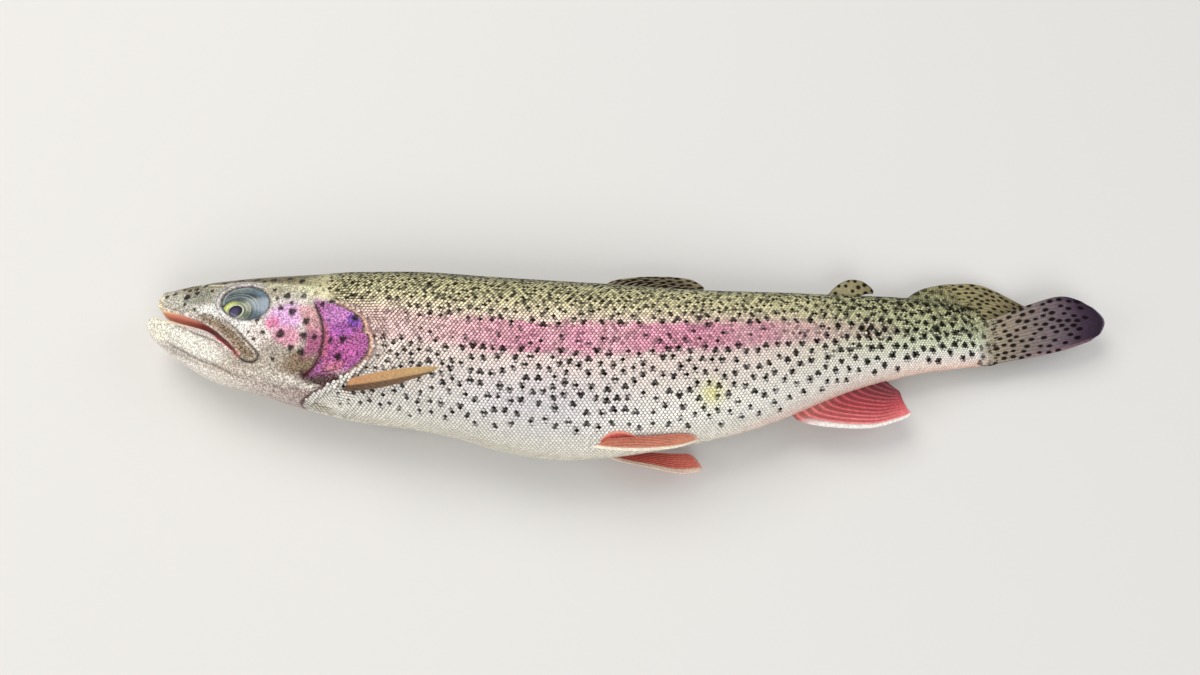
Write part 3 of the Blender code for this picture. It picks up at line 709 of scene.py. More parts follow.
def headTint(x, y, side):
    angle = angleAt(x, y)
    base, up = bodyPoint(x, angle), bodyNormal(x, angle)[:, 1]
    across = (base[:, 2] - along(body["middle"], x)) * side
    ridge, s = offLine(lines["crown"], x, y)
    inRange = ends(s, 0.06, 0.9)
    # the top of the head is darker above the crown's ridge, and a pale line along the ridge is a painted
    # highlight
    tint = paint(fromTable(headPaint["heights"], y),
                 ((112, 102, 72), ease(0.2, 2.4, -ridge) * 0.75 * (y > 24) * inRange),
                 ((238, 230, 200), bell(ridge, 0.5) * 0.8 * inRange))
    for *patch, colour, strength in headPaint["patches"]:
        r = oval(x, y, *patch) + 0.10 * np.sin(x * 1.7 + 2 * np.sin(y * 1.3)) * np.sin(y * 1.9)
        tint = paint(tint, (colour, ease(1.15, 0.55, r) * strength))
    under = ease(0.60, 0.88, -up)       # the underside is plain and pale
    tint = mix(tint, paint((240, 230, 216), ((196, 176, 168), ease(-128, -98, x))), under)
    bone = offLine(lines["preopercle"], x, y)[0]
    edge = offLine(lines["gillEdge"], x, y)[0]
    # the rosy edge bone, in front of its dark line
    rosy = paint((208, 156, 158), ((170, 96, 130), ease(13, 5, y)))
    tint = mix(tint, rosy, ease(0, 0.6, bone) * ease(7.5, 5.0, bone) * ease(20, 17, y) * ease(-2.5, 2, y))
    cover = ease(0.0, 0.8, -bone) * ease(-0.1, 0.4, edge)
    cover = cover * ease(20.5, 17, y + 0.25 * (x + 80)) * ease(-8, -4.5, y)
    plum = (176, 96, 160)
    for *patch, colour, strength in headPaint["gillPatches"]:
        plum = paint(plum, (colour, ease(1.15, 0.45, oval(x, y, *patch)) * strength))
    tint = mix(tint, plum, np.where(x > -92, cover, 0))
    low = ease(21.0, 18.5, y)
    inside = insideOf(maxillaRim, x, y)
    r = orbitPart(x, y)
    lid = ease(-111, -118, x - 0.8 * (y - 21))
    tint = paint(
        tint,
        ((222, 170, 146), ease(-0.2, -0.5, edge) * (x > -92) * low * 0.95),   # soft edge of the gill cover
        # painted shade in the gill slit along the cover's edge
        ((76, 30, 46), bell(edge + 0.15, 0.36) * (x > -96) * low * 0.9),
        ((150, 128, 102), ease(0.0, 0.8, inside) * 0.95),                     # upper jaw plate
        ((236, 222, 224), bell(r - 1.14, 0.06) * 0.85 * lid),                 # rims of the eye's pit; the dark line between them is painted shade in a crease, and the last layer painted shade on the pit's wall
        ((84, 80, 76), bell(r - 1.215, 0.04) * 0.65 * lid),
        ((206, 216, 224), bell(r - 1.29, 0.05) * 0.6 * lid),
        ((66, 72, 78), ease(1.11, 1.0, r) * 0.85))
    # the folds' dark lines: their own colour and painted shade in their creases
    for key, width, colour, strength in headPaint["seamsAndShade"]:
        d, s = offLine(lines[key], x, y)
        strength = strength * (1 - under * (key in ("jawFold", "chinFold")))
        tint = paint(tint, (colour, bell(d, width) * strength * ends(s, 0.08, 0.9)))
    # round the upper jaw plate: a pale band, painted shade in its groove and a paler rim inside
    tint = paint(tint, ((250, 242, 230), bell(inside + 1.1, 0.45) * 0.7 * (y > 3)),
                 ((46, 38, 32), bell(inside + 0.14, 0.42) * 0.95),
                 ((220, 206, 186), bell(inside - 0.75, 0.30) * 0.5),
                 # the nostrils are painted dark, the shade in their pits
                 *(((26, 24, 22), bell(oval(x, y, *place, 1.1, 1), 0.72)) for place in head["nostrils"]))
    for px, py, radius in headPaint["spots"]:
        away = base - bodyPoint(px, angleAt(px, py))
        reach = np.linalg.norm(away, axis=1) / radius
        reach = reach * (1 + 0.12 * np.sin(3 * np.arctan2(away[:, 1], away[:, 0]) + px))
        tint = paint(tint, ((40, 31, 31), ease(1.25, 0.75, reach) * 0.94 * ((side > 0) | (py < 30))))
    for px, pw, radius in crownSpots:
        reach = np.hypot(x - px, across - pw) / radius
        tint = paint(tint, ((34, 30, 22), ease(1.3, 0.7, reach) * 0.9 * (up > 0.3)))
    # pale lips, rosy towards the corner of the mouth
    for key in ("upperLip", "lowerLip"):
        d, s = offLine(lines[key], x, y)
        lip = paint((252, 236, 202), ((238, 216, 208), ease(0.25, 0.6, s)),
                    ((196, 92, 96), ease(0.8, 0.98, s)))
        tint = mix(tint, lip, bell(d, 0.6) * 0.8)
    return tint


def mouthTint(points, kind):
    x, z = points[:, 0], points[:, 2]
    fromLip = along(body["halfWidth"], x) - 1.0 - np.abs(z - along(body["middle"], x))
    roof = paint((244, 216, 170), ((226, 156, 116), ease(-150.6, -148.4, x)),
                 ((250, 166, 144), ease(-148.4, -144.5, x)), ((244, 150, 140), ease(-136, -129, x)),
                 ((206, 48, 66), ease(-129, -124, x)), ((138, 24, 36), ease(-118, -108, x)))
    roofRim = paint((246, 224, 184), ((216, 120, 110), ease(-147, -136, x)))
    gum = paint((240, 230, 204), ((216, 226, 238), ease(-138, -131, x)),
                ((206, 44, 74), ease(-127.5, -124.5, x)))
    low = paint((240, 198, 178), ((214, 92, 92), ease(-140, -124, x)))
    low = mix(low, gum, ease(2.6, 1.2, fromLip))
    roof = mix(roof, roofRim, ease(1.4, 0.3, fromLip) * 0.7)
    return np.where((kind == 2)[:, None], low, roof)


def skinTint(points, kind):
    # the skin's colours, and its grain: how strongly fine pigment breaks them up
    x, y, z = points.T
    side = np.where(z >= along(body["middle"], x), 1, -1)
    angle = angleAt(x, y)
    tint, grain = np.zeros(points.shape), np.zeros(len(points))
    edge = offLine(lines["gillEdge"], x, y)[0]
    high = ease(20, 22, y)
    behind = ease(0.9, 2.2, -edge) * ease(-104, -90, x) * (1 - high) + ease(-96, -83, x) * high
    behind = np.where(x > -66, 1.0, np.where(x < -104, 0.0, behind))
    for flank in (1, -1):
        pick = np.where((behind > 0) & (kind == 0) & (side == flank))[0]
        d, q = girthOf(x[pick], angle[pick])
        middle, rim = coatColours(x[pick], d, q, flank)
        share = 0.35 + 0.45 * ease(0.90, 0.97, np.abs(q)) + 0.45 * ease(-79, -86, x[pick])
        coatTone = mix(rim, middle, np.clip(share, 0, 0.85))
        tint[pick] = paint(coatTone, (coat["spot"], spotCover(flank, x[pick], d) * 0.95))
    pick = np.where((behind < 1) & (kind == 0))[0]
    bare = headTint(x[pick], y[pick], side[pick])
    # painted shade in the groove where the shoulder steps down behind the gill cover
    bare = paint(bare, ((120, 62, 60), bell(-edge[pick] - 2.1, 0.35) * 0.6))
    tint[pick] = mix(bare, tint[pick], behind[pick])
    pale = ease(-112, -126, x) * ease(16, 11, y) + ease(-144, -150, x) * ease(24, 27, y) * 0.6
    cover = ease(0.0, 0.8, -offLine(lines["preopercle"], x, y)[0]) * ease(-0.1, 0.4, edge) * ease(22, 18, y)
    cover = np.where((x > -92) & (x < -66), cover, 0)
    plate = ease(0.0, 0.8, insideOf(maxillaRim, x, y))
    strong = 0.80 - 0.16 * np.clip(pale, 0, 1) + 0.20 * cover + 0.20 * plate
    grain[kind == 0] = (strong * (1 - 0.55 * behind))[kind == 0]
    pick = np.where(kind > 0)[0]
    tint[pick] = mouthTint(points[pick], kind[pick])
    return tint, grain


def addNode(tree, kind, at, sockets, **settings):
    node = tree.nodes.new("ShaderNode" + kind)
    node.location = at
    for name, value in settings.items():
        setattr(node, name, value)
    feed(tree, node, sockets)
    return node.outputs


def mapRange(tree, at, value, fromMin, fromMax, toMin, toMax):
    return addNode(tree, "MapRange", at, {"Value": value, "From Min": fromMin, "From Max": fromMax,
                                          "To Min": toMin, "To Max": toMax})["Result"]


def newMaterial(name, roughness, coatWeight, coatRoughness, metallic=0.0):
    material = bpy.data.materials.new(name)
    material.use_nodes = True
    shader = material.node_tree.nodes["Principled BSDF"]
    feed(material.node_tree, shader, {"Roughness": roughness, "Metallic": metallic,
                                      "Coat Weight": coatWeight, "Coat Roughness": coatRoughness})
    return material, material.node_tree, shader


def dullWhereDark(tree, colour, shader, shine, coatShine):
    grey = addNode(tree, "RGBToBW", (-400, -150), {"Color": colour})["Val"]
    for name, most, height in (("Specular IOR Level", shine, -150), ("Coat Weight", coatShine, -400)):
        feed(tree, shader, {name: mapRange(tree, (-200, height), grey, 0.0, 0.6, 0.03, most)})


def speckledMaterial(name, gloss, cell, contrast, bumpDepth, pale=0.0, dull=True):
    # the tint attribute, broken up by fine pigment cells as strongly as the grain attribute says
    # gloss: roughness, and weight and roughness of the wet coat; cell: size of the pigment cells
    material, tree, shader = newMaterial(name, *gloss)
    tint = addNode(tree, "Attribute", (-900, 200), {}, attribute_name="tint")["Color"]
    grain = addNode(tree, "Attribute", (-900, -100), {}, attribute_name="grain")["Fac"]
    place = addNode(tree, "TexCoord", (-1500, 0), {})["Object"]
    fleck, blotch, fine = (
        addNode(tree, "TexNoise", (-1200, height), {"Vector": place, "Scale": size / cell, "Detail": 3.0,
                                                    "Roughness": rough})["Fac"]
        for height, size, rough in ((300, 1000, 0.6), (0, 330, 0.6), (-300, 900, 0.5)))
    ramp = tree.nodes.new("ShaderNodeValToRGB")
    ramp.location = (-900, 450)
    feed(tree, ramp, {"Fac": fleck})
    for stop, at, level in zip(ramp.color_ramp.elements, (0.39, 0.62),
                               (max(0.02, 1 - contrast), 1 + contrast * 0.55)):
        stop.position = at
        stop.color = (level, level, level, 1)
    cloud = mapRange(tree, (-900, 0), blotch, 0.35, 0.65, 1 - contrast * 0.35, 1 + contrast * 0.25)
    both = addNode(tree, "VectorMath", (-600, 300), {0: ramp.outputs["Color"], 1: cloud},
                   operation="MULTIPLY")["Vector"]
    eased = addNode(tree, "Mix", (-400, 200), {0: grain, 6: (1, 1, 1, 1), 7: both}, data_type="RGBA")[2]
    final = addNode(tree, "Mix", (-200, 200), {0: 1.0, 6: tint, 7: eased}, data_type="RGBA",
                    blend_type="MULTIPLY")[2]
    paler = mapRange(tree, (-400, 500), fleck, 0.57, 0.70, 0.0, pale)
    share = addNode(tree, "Math", (-200, 500), {0: paler, 1: grain}, operation="MULTIPLY")["Value"]
    chalky = addNode(tree, "VectorMath", (-200, 700), {0: tint, 1: (1.5,) * 3, 2: (0.09,) * 3},
                     operation="MULTIPLY_ADD")["Vector"]
    flecked = addNode(tree, "Mix", (0, 300), {0: share, 6: final, 7: chalky}, data_type="RGBA")[2]
    bump = addNode(tree, "Bump", (-200, -300), {"Height": fine, "Strength": 0.5,
                                                "Distance": bumpDepth * mm})
    feed(tree, shader, {"Base Color": flecked, "Normal": bump["Normal"]})
    if dull:
        dullWhereDark(tree, tint, shader, shine=0.5, coatShine=gloss[1])
    return material


skinColours, skinGrain = skinTint(skinPoints, skinKind)
skin = makeObject("trout_skin", skinPoints, skinFaces, skinColours, skinGrain)
skin.data.materials.append(speckledMaterial("wet_skin", gloss=(0.40, 0.35, 0.2), cell=0.64, contrast=0.80,
                                            bumpDepth=0.2, pale=0.7))
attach(skin, "root")
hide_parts("head", "lower_jaw", "maxilla_left", "maxilla_right", "gill_cover_left",
            "gill_cover_right", "trunk_front", "trunk_rear", "tail_stalk")
print("skin is coloured")

# one scale, root to tip along u and across along v, in parts of the pitch and the row gap, and how high
scaleForm = {
    "outline": ((-0.45, -0.50, -0.20), (0.25, -0.98, 0.05), (0.82, -0.64, 0.22), (1.10, 0.0, 0.28),
                (0.82, 0.64, 0.22), (0.25, 0.98, 0.05), (-0.45, 0.50, -0.20)),
    "plate": ((0.12, -0.38, 0.17), (0.52, -0.44, 0.30), (0.80, 0.0, 0.34), (0.52, 0.44, 0.30),
              (0.12, 0.38, 0.17)),
    "tops": ((7, 8, 9), (7, 9, 11), (9, 10, 11), (0, 1, 7), (1, 8, 7), (1, 2, 8), (2, 9, 8), (2, 3, 9),
             (3, 4, 9), (4, 10, 9), (4, 5, 10), (5, 11, 10), (5, 6, 11), (6, 7, 11), (6, 0, 7)),
    "unders": ((0, 2, 1), (0, 3, 2), (0, 4, 3), (0, 5, 4), (0, 6, 5)),
    "tip": 3, "middle": 9,      # numbers of the point at the tip and of the one in the middle
    "firstX": -100.0, "lastX": 154.6, "splitX": 12.0, "rows": 72, "patch": 0.003,
    # scales begin behind this line of the nape, the gill opening and the throat, as (y, x)
    "front": ((-40, -101), (-20, -101), (-14, -93), (-10, -85), (-6, -74.5), (0, -66.8), (7, -66.6),
              (12, -69.0), (16, -75.0), (19, -80.0), (22, -83.5), (28, -87.0), (45, -88.0)),
}


def smallAt(x):
    return 1 - (1 - coat["smallAtTail"]) * ease(40, 150, x)


def glintOf(q, rng):
    # scales catch the light unevenly, most of all on the back
    glint = rng.uniform(0.66, 1.08, len(q)) * np.where(rng.uniform(size=len(q)) < 0.14, 0.55, 1)
    return (1 - (1 - glint) * (1 - 0.75 * ease(0.08, 0.25, q)))[:, None]


def layScales(name, at, look, rng):
    # at: root, lie, across, normal and height of each scale
    # look: its size, the colours of its middle and rim, its darkness and its place on the unwrap
    root, lie, across, normal, high = at
    size, middle, rim, dark, centre = look
    count = len(root)
    form = np.array(scaleForm["outline"] + scaleForm["plate"])
    number = np.arange(len(form))[:, None]
    u = form[:, 0] * coat["pitch"] * size[:, None]
    v = form[:, 1] * coat["rowGap"] * size[:, None]
    h = form[:, 2] * (0.55 + 0.45 * size[:, None]) * high[:, None]
    tilt = rng.normal(0, 0.05, count)[:, None]
    points = (root[:, None] + u[..., None] * lie[:, None] + v[..., None] * across[:, None]
              + (h + tilt * v)[..., None] * normal[:, None])
    points[..., 2] = np.maximum(points[..., 2], body["clearScale"])
    tints = np.where(number >= len(scaleForm["outline"]), middle[:, None],
                     (rim * rng.uniform(0.7, 1.3, (count, 1)))[:, None])
    tints = np.where(number == scaleForm["tip"], mix(rim, middle, 0.2)[:, None], tints)
    m = slice(scaleForm["middle"], scaleForm["middle"] + 1)
    tints = paint(tints, (coat["spot"], np.maximum(dark(u, v), 0.9 * dark(u[:, m] * 0.6, v[:, m]))))
    faces = np.array(scaleForm["tops"] + scaleForm["unders"])
    onTop = np.tile(np.arange(len(faces)) < len(scaleForm["tops"]), count)
    faces = (faces[None] + np.arange(count)[:, None, None] * len(form)).reshape(-1, 3)
    piece = makeObject(name, points.reshape(-1, 3), [faces], tints.reshape(-1, 3))
    piece.data.polygons.foreach_set("use_smooth", onTop)
    # each scale's own small patch on an unwrap of the body by length and girth
    layer = piece.data.uv_layers.new(name="OFBake")
    uv = (centre[:, None] + form[:, :2] * scaleForm["patch"] / 2.2).reshape(-1, 2)
    layer.data.foreach_set("uv", uv[faces.ravel()].astype(np.float32).ravel())
    print(name, count, "scales,", len(faces), "triangles")
    return piece


def buildScales(side, seed):
    rng = np.random.default_rng(seed)
    found = []
    places = [scaleForm["firstX"]]
    while places[-1] < scaleForm["lastX"]:
        places.append(places[-1] + coat["pitch"] * smallAt(places[-1]) / 2)
    rows = np.arange(-scaleForm["rows"], scaleForm["rows"] + 1)
    past = 0.45 if side > 0 else -0.25      # the left rows cross the midlines of the back and the belly
    for k, x in enumerate(places):
        mine = rows[rows % 2 == k % 2]
        d = mine * coat["rowGap"] * smallAt(x)
        f = np.clip((x - girthX[0]) / (girthX[1] - girthX[0]), 0, len(girthX) - 2.001)
        i, u = int(f), f - int(f)
        run = girthRun[i] * (1 - u) + girthRun[i + 1] * u
        runAft = girthRun[i + 1] * (1 - u) + girthRun[min(i + 2, len(girthX) - 1)] * u
        keep = (d > run[0] - past) & (d < run[-1] + past)
        d, mine = d[keep], mine[keep]
        found.append((np.full(len(d), x), d, np.interp(d, run, girthAngle),
                      np.interp(d, runAft, girthAngle), mine == 0))
    x, d, angle, aft, lateral = (np.concatenate(v) for v in zip(*found))
    turn, turnAft = onSide(angle, side), onSide(aft, side)
    root = bodyPoint(x, turn)
    start = np.interp(root[:, 1], *zip(*scaleForm["front"])) + rng.uniform(-1.0, 1.0, len(x))
    keep = (x > start) & (x < np.where(root[:, 1] > 16, 155.2, 152 + rng.uniform(0, 3.2, len(x))))
    x, d, angle, turn, turnAft, root, lateral, start = (
        v[keep] for v in (x, d, angle, turn, turnAft, root, lateral, start))
    normal = bodyNormal(x, turn)
    lie = bodyPoint(x + (girthX[1] - girthX[0]), turnAft) - root
    lie = unit(lie - normal * (lie * normal).sum(1, keepdims=True))
    step = gillStep(root[:, 0], root[:, 1]) * (x < -50) * ease(0.05, 0.3, np.abs(normal[:, 2]))
    size = smallAt(x) * (0.90 + 0.10 * ease(0, 8, x - start)) * rng.uniform(0.93, 1.07, len(x))
    high = (0.50 + 0.50 * ease(0, 6, x - start)) * (1 - 0.65 * ease(144, 154, x))
    at = (root + normal * step[:, None], lie, np.cross(normal, lie), normal, high)
    _, q = girthOf(x, angle)
    middle, rim = coatColours(x, d, q, side)
    rim = mix(middle * 0.5, rim, ease(0, 7, x - start))
    middle = mix(rim * 1.3, middle, 0.7 + 0.3 * ease(0, 7, x - start))
    dim = np.where(lateral, 0.84, 1)[:, None]
    middle, rim = middle * glintOf(q, rng) * dim, rim * dim
    # now and then a whole scale is black, most often on the back and the stalk
    often = 0.13 * ease(-0.10, -0.45, q) + 0.18 * ease(70, 120, x) * ease(0.5, 0.2, q)
    often = often * (0.4 + 0.6 * ease(-80, -45, x))
    black = (rng.uniform(size=len(x)) < often) * rng.uniform(0.5, 1.0, len(x))
    centre = np.stack(((x - scaleForm["firstX"]) / 280.0 + 0.01, 0.5 + d / 105.0), -1)
    pieces = []
    for part, pick in (("front", x < scaleForm["splitX"]), ("rear", x >= scaleForm["splitX"])):
        def dark(u, v):
            cover = spotCover(side, (x[pick][:, None] + u).ravel(), (d[pick][:, None] + side * v).ravel())
            return np.maximum(cover.reshape(u.shape), black[pick][:, None])
        look = (size[pick], middle[pick], rim[pick], dark, centre[pick])
        name = f"scales_{part}_" + ("left" if side > 0 else "right")
        pieces.append(layScales(name, [v[pick] for v in at], look, rng))
    return pieces


def scaleMaterial():
    material, tree, shader = newMaterial("scale_silver", roughness=0.34, coatWeight=0.3,
                                         coatRoughness=0.2, metallic=0.1)
    tint = addNode(tree, "Attribute", (-700, 200), {}, attribute_name="tint")["Color"]
    place = addNode(tree, "TexCoord", (-1100, 0), {})["Object"]
    mottle = addNode(tree, "TexNoise", (-900, 0), {"Vector": place, "Scale": 1600.0, "Detail": 2.0})["Fac"]
    level = mapRange(tree, (-700, -50), mottle, 0.3, 0.7, 0.84, 1.14)
    tone = addNode(tree, "VectorMath", (-400, 150), {0: tint, 1: level}, operation="MULTIPLY")["Vector"]
    feed(tree, shader, {"Base Color": tone})
    dullWhereDark(tree, tint, shader, shine=0.55, coatShine=0.5)
    return material


scaleFinish = scaleMaterial()
coatPieces = buildScales(1, seeds["scales"][1]) + buildScales(-1, seeds["scales"][-1])

# eyes: lenses that follow the cheek, set in their pits and turned forward and down
eye = {
    "reach": 1.05, "proud": 0.34, "fall": 0.80, "deep": 3.4, "rings": 72, "spokes": 180,
    "pupil": (-118.6, 17.8), "pupilRadii": (2.7, 2.1), "dome": (5.8, 4.6),
}


def eyeTint(x, y):
    dx, dy = (x - eye["pupil"][0]) / eye["pupilRadii"][0], (y - eye["pupil"][1]) / eye["pupilRadii"][1]
    r, turn = np.hypot(dx, dy), np.arctan2(dy, dx)

    def toward(direction, wide):
        return bell(np.angle(np.exp(1j * (turn - direction))) / wide)

    rim = orbitPart(x, y)
    slope = y + 0.25 * (x + 114.6)
    mottle = 0.5 + 0.5 * np.sin(x * 1.9 + 2 * np.sin(y * 1.7)) * np.sin(y * 2.3 + 1.5 * np.sin(x * 1.4))
    sclera = paint(
        (96, 108, 110),
        # towards the rear the eye takes a painted soft reflection of the sky, brightest in a painted
        # highlight
        ((98, 122, 140), ease(-115, -108.5, x + 0.3 * (y - 21))),
        ((110, 133, 152), bell(oval(x, y, -108.6, 20.8, 2.4, 2.8)) * 0.8),
        ((70, 86, 102), ease(19.5, 15.0, slope) * 0.8),
        ((150, 164, 162), mottle * bell(oval(x, slope, -117, 25.6, 6.0, 2.4)) * 0.7),
        # a painted shadow under the top of the eye's rim
        ((32, 40, 46), bell(oval(x, slope, -113.6, 23.8, 4.0, 1.5)) * 0.95),
        ((54, 64, 70), bell(oval(x, y, -120.8, 24.6, 2.4, 1.2)) * 0.8))
    for ring, wide in ((2.75, 0.10), (3.20, 0.08)):
        sclera = paint(sclera, ((176, 188, 186), bell(r - ring, wide) * toward(1.0, 1.1) * 0.55),
                       ((44, 54, 60), bell(r - ring - 0.2, wide) * toward(1.0, 1.1) * 0.6))
    # a painted highlight runs along the eye's upper rim, and painted shade darkens its edge where it meets
    # the pit
    shine = bell(rim - 0.90, 0.022) * ease(-113, -118, x) * (y > 21) * 0.8
    sclera = paint(sclera, ((196, 206, 206), shine), ((46, 54, 62), ease(0.90, 0.99, rim) * 0.75))
    streak = 0.5 + 0.5 * np.sin(turn * 23 + 3 * np.sin(r * 4))
    arcs = np.clip(toward(0.5, 0.9) * (bell(r - 1.62, 0.07) + bell(r - 2.12, 0.07)), 0, 1)
    iris = paint(
        (78, 88, 76),
        ((140, 148, 118), streak * 0.5),
        ((206, 218, 96), toward(2.45, 1.0) * ease(1.15, 1.35, r) * ease(2.15, 1.85, r) * 0.95),     # lime
        ((246, 246, 176), toward(2.5, 0.7) * bell(r - 1.45, 0.14) * 0.8),
        ((176, 186, 150), arcs * 0.7),
        ((46, 50, 92), toward(1.45, 0.5) * bell(r - 1.95, 0.22) * 0.85))
    gleam = 0.35 + 0.65 * ease(-0.9, 0.3, np.sin(turn + 0.7))
    tint = paint(mix(sclera, iris, ease(2.3, 2.15, r)), ((28, 36, 44), bell(r - 2.30, 0.12) * 0.6),
                 ((240, 242, 214), bell(r - 1.10, 0.075) * gleam))
    pupil = paint((72, 62, 104), ((16, 14, 22), ease(0.30, 0.95, np.hypot(dx + 0.15, dy + 0.1))))
    return mix(tint, pupil, ease(1.05, 0.97, r))


def buildEye(side):
    rings, spokes, reach = eye["rings"], eye["spokes"], eye["reach"]
    r = np.linspace(0, reach, rings + 1)[1:, None] * np.ones(spokes)
    spin = np.arange(spokes) * 2 * np.pi / spokes
    ox, oy, rx, ry, lean = head["orbit"]
    c, s = math.cos(lean), math.sin(lean)
    x = ox + c * rx * r * np.cos(spin) - s * ry * r * np.sin(spin)
    y = oy + s * rx * r * np.cos(spin) + c * ry * r * np.sin(spin)
    x, y, r = (np.append(v.ravel(), end) for v, end in ((x, ox), (y, oy), (r, 0.0)))
    angle = onSide(angleAt(x, y), side)
    skinAt, normal = bodyPoint(x, angle), bodyNormal(x, angle)
    dome = oval(x, y, *eye["pupil"], *eye["dome"])
    over = eye["proud"] - eye["fall"] * r**2 + 0.3 * ease(1.05, 0.6, dome) * ease(1.0, 0.8, r)
    bowl = eye["deep"] * np.sqrt(np.maximum(0, 1 - (r / reach) ** 2))
    under = eye["proud"] - eye["fall"] * reach**2 - bowl
    top, low = skinAt + normal * over[:, None], skinAt + normal * under[:, None]
    # the outermost ring is shared by the front and the back of the lens
    points = np.vstack((top, low[:(rings - 1) * spokes], low[-1:]))
    at = np.arange(rings * spokes).reshape(rings, spokes)
    faces = wrap(np.vstack((at, at[-2::-1] + len(top))), (rings * spokes, len(points) - 1), False)
    if side < 0:
        faces = [f[:, ::-1] for f in faces]
    return makeObject("eye_ball_left" if side > 0 else "eye_ball_right", points, faces,
                      eyeTint(points[:, 0], points[:, 1]), 0.7)


eyeFinish = speckledMaterial("wet_eye", gloss=(0.22, 0.5, 0.16), cell=0.8, contrast=0.30,
                             bumpDepth=0.02, dull=False)
for side, name in ((1, "eye_left"), (-1, "eye_right")):
    ball = buildEye(side)
    ball.data.materials.append(eyeFinish)
    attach(ball, "root")
    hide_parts(name)
print("eyes are set")

# fins: leading and trailing edge from the body outwards, how round the outer edge is, and the rays
fins = {
    "dorsal_fin": {
        "lead": ((11, 30.6, 19), (16, 34.4, 18.8), (25, 36.2, 18.3), (36, 36.6, 17.8), (45, 36, 17.4)),
        "trail": ((46, 28.6, 19), (48, 30.4, 18.6), (50.5, 31.4, 18.2)),
        "round": 1, "rays": 13, "grid": (130, 60), "slot": "fin_dark"},
    "adipose_fin": {
        "lead": ((95.5, 29, 13.6), (101, 34.9, 13.3), (106, 37.4, 13), (110.5, 37.2, 12.8)),
        "trail": ((106.5, 29.2, 12.4), (111, 31.6, 12.4), (115, 32, 12.4)),
        "round": 1.2, "rays": 0, "grid": (70, 50), "slot": "fin_dark"},
    "caudal_fin_upper": {
        "lead": ((126, 29, 10.4), (134, 34.4, 9.6), (146, 37.4, 8.4), (158, 37.6, 6.8), (172, 31.6, 4.4),
                 (186, 24, 2.2), (195, 18.6, 1.3)),
        "trail": ((149.5, 20.6, 8.2), (158, 21, 6), (168, 18.6, 3.6), (180, 16.2, 1.9), (189, 15.4, 1.3)),
        "round": 2, "rays": 15, "grid": (160, 190), "slot": "fin_dark"},
    "caudal_fin_lower": {
        "lead": ((149.5, 6.4, 8.8), (155, 4.8, 8.7), (164, 6.2, 8.9), (183, 9.8, 10.2),
                 (197.5, 14.6, 10.6)),
        "trail": ((149.5, 19, 8.8), (155, 21.4, 9), (162.5, 23.9, 9.6), (174.4, 28.4, 10.8),
                  (186.2, 31.2, 11.6), (196, 28.4, 11.2)),
        "round": 4.4, "rays": 16, "grid": (160, 170), "slot": "fin_dark"},
    "anal_fin": {
        "lead": ((80, -15.6, 14.8), (84, -18.7, 14.4), (94.6, -20.4, 13.6), (109, -20.4, 12.4),
                 (120, -17.4, 11.4), (125.5, -14.8, 10.8)),
        "trail": ((115, -0.8, 11.8), (118, -3.6, 11.4), (121.5, -6.2, 11)),
        "round": -0.8, "rays": 12, "slot": "fin_red"},
    "pelvic_fin_left": {
        "lead": ((6, -29.6, 24.8), (10.5, -31.4, 26.9), (18, -32.3, 27.2), (28, -32.2, 26.6),
                 (38, -30.8, 25.2), (46, -27.9, 23.6)),
        "trail": ((13, -28.6, 29.4), (22, -28.2, 30), (31, -27.5, 29.2), (38, -26.6, 27.9),
                  (43, -26.2, 26.4)),
        "round": 0.6, "rays": 9, "slot": "fin_red"},
    "pelvic_fin_right": {
        "lead": ((10.5, -29.2, 12.8), (18, -32.4, 12.2), (29, -34.6, 11.4), (40, -36.4, 9.4),
                 (48.6, -35.2, 8)),
        "trail": ((14.5, -26.4, 9.6), (25, -27.6, 7.2), (36, -28.2, 6.2), (44.5, -28.2, 5.8)),
        "round": 0.8, "rays": 9, "slot": "fin_red"},
    "pectoral_fin_left": {
        "lead": ((-75.5, -8, 31.6), (-72, -8.1, 35), (-62, -7.8, 40.2), (-52, -8.1, 45),
                 (-41.8, -9.2, 49.4)),
        "trail": ((-78, -11.4, 29), (-74, -12.8, 33.2), (-65, -13.3, 37.6), (-55, -12.4, 42),
                  (-45.5, -10.7, 46.4)),
        "round": 1, "rays": 12, "slot": "fin_gold"},
    "pectoral_fin_right": {
        "lead": ((-75.5, -8, 5.8), (-70, -9.4, 3), (-60, -10.4, 1.7), (-48, -11.6, 1.1), (-37, -13, 1)),
        "trail": ((-78, -12.6, 8.6), (-72, -15.4, 4.4), (-62, -17.2, 2.6), (-50, -18, 1.6),
                  (-40, -17.6, 1.2)),
        "round": 1, "rays": 12, "slot": "fin_gold"},
}
finForm = {
    "web": 0.13, "ray": 0.30, "root": 0.36, "lead": 0.34, "plain": 0.36, "edge": 0.05,    # half thicknesses
    "spotTries": 4000,
    "bands": {      # colours from the root (0) to the rim (1)
        "caudal_fin_upper": ((0, (176, 172, 126)), (0.3, (162, 152, 106)), (0.7, (130, 116, 84)),
                             (1, (90, 76, 62))),
        "caudal_fin_lower": ((0, (206, 200, 164)), (0.18, (182, 170, 140)), (0.45, (156, 142, 124)),
                             (0.70, (116, 102, 108)), (0.86, (66, 50, 66)), (1, (38, 28, 42)))},
    # half length of a spot along the rays, its half width, and the room kept along and across
    "spots": {"caudal_fin_upper": (1.10, 0.52, 2.4, 1.45), "caudal_fin_lower": (1.22, 0.70, 2.9, 1.95),
              "dorsal_fin": (1.2, 0.5, 2.6, 1.5), "adipose_fin": (0.85, 0.80, 2.5, 2.3)},
}


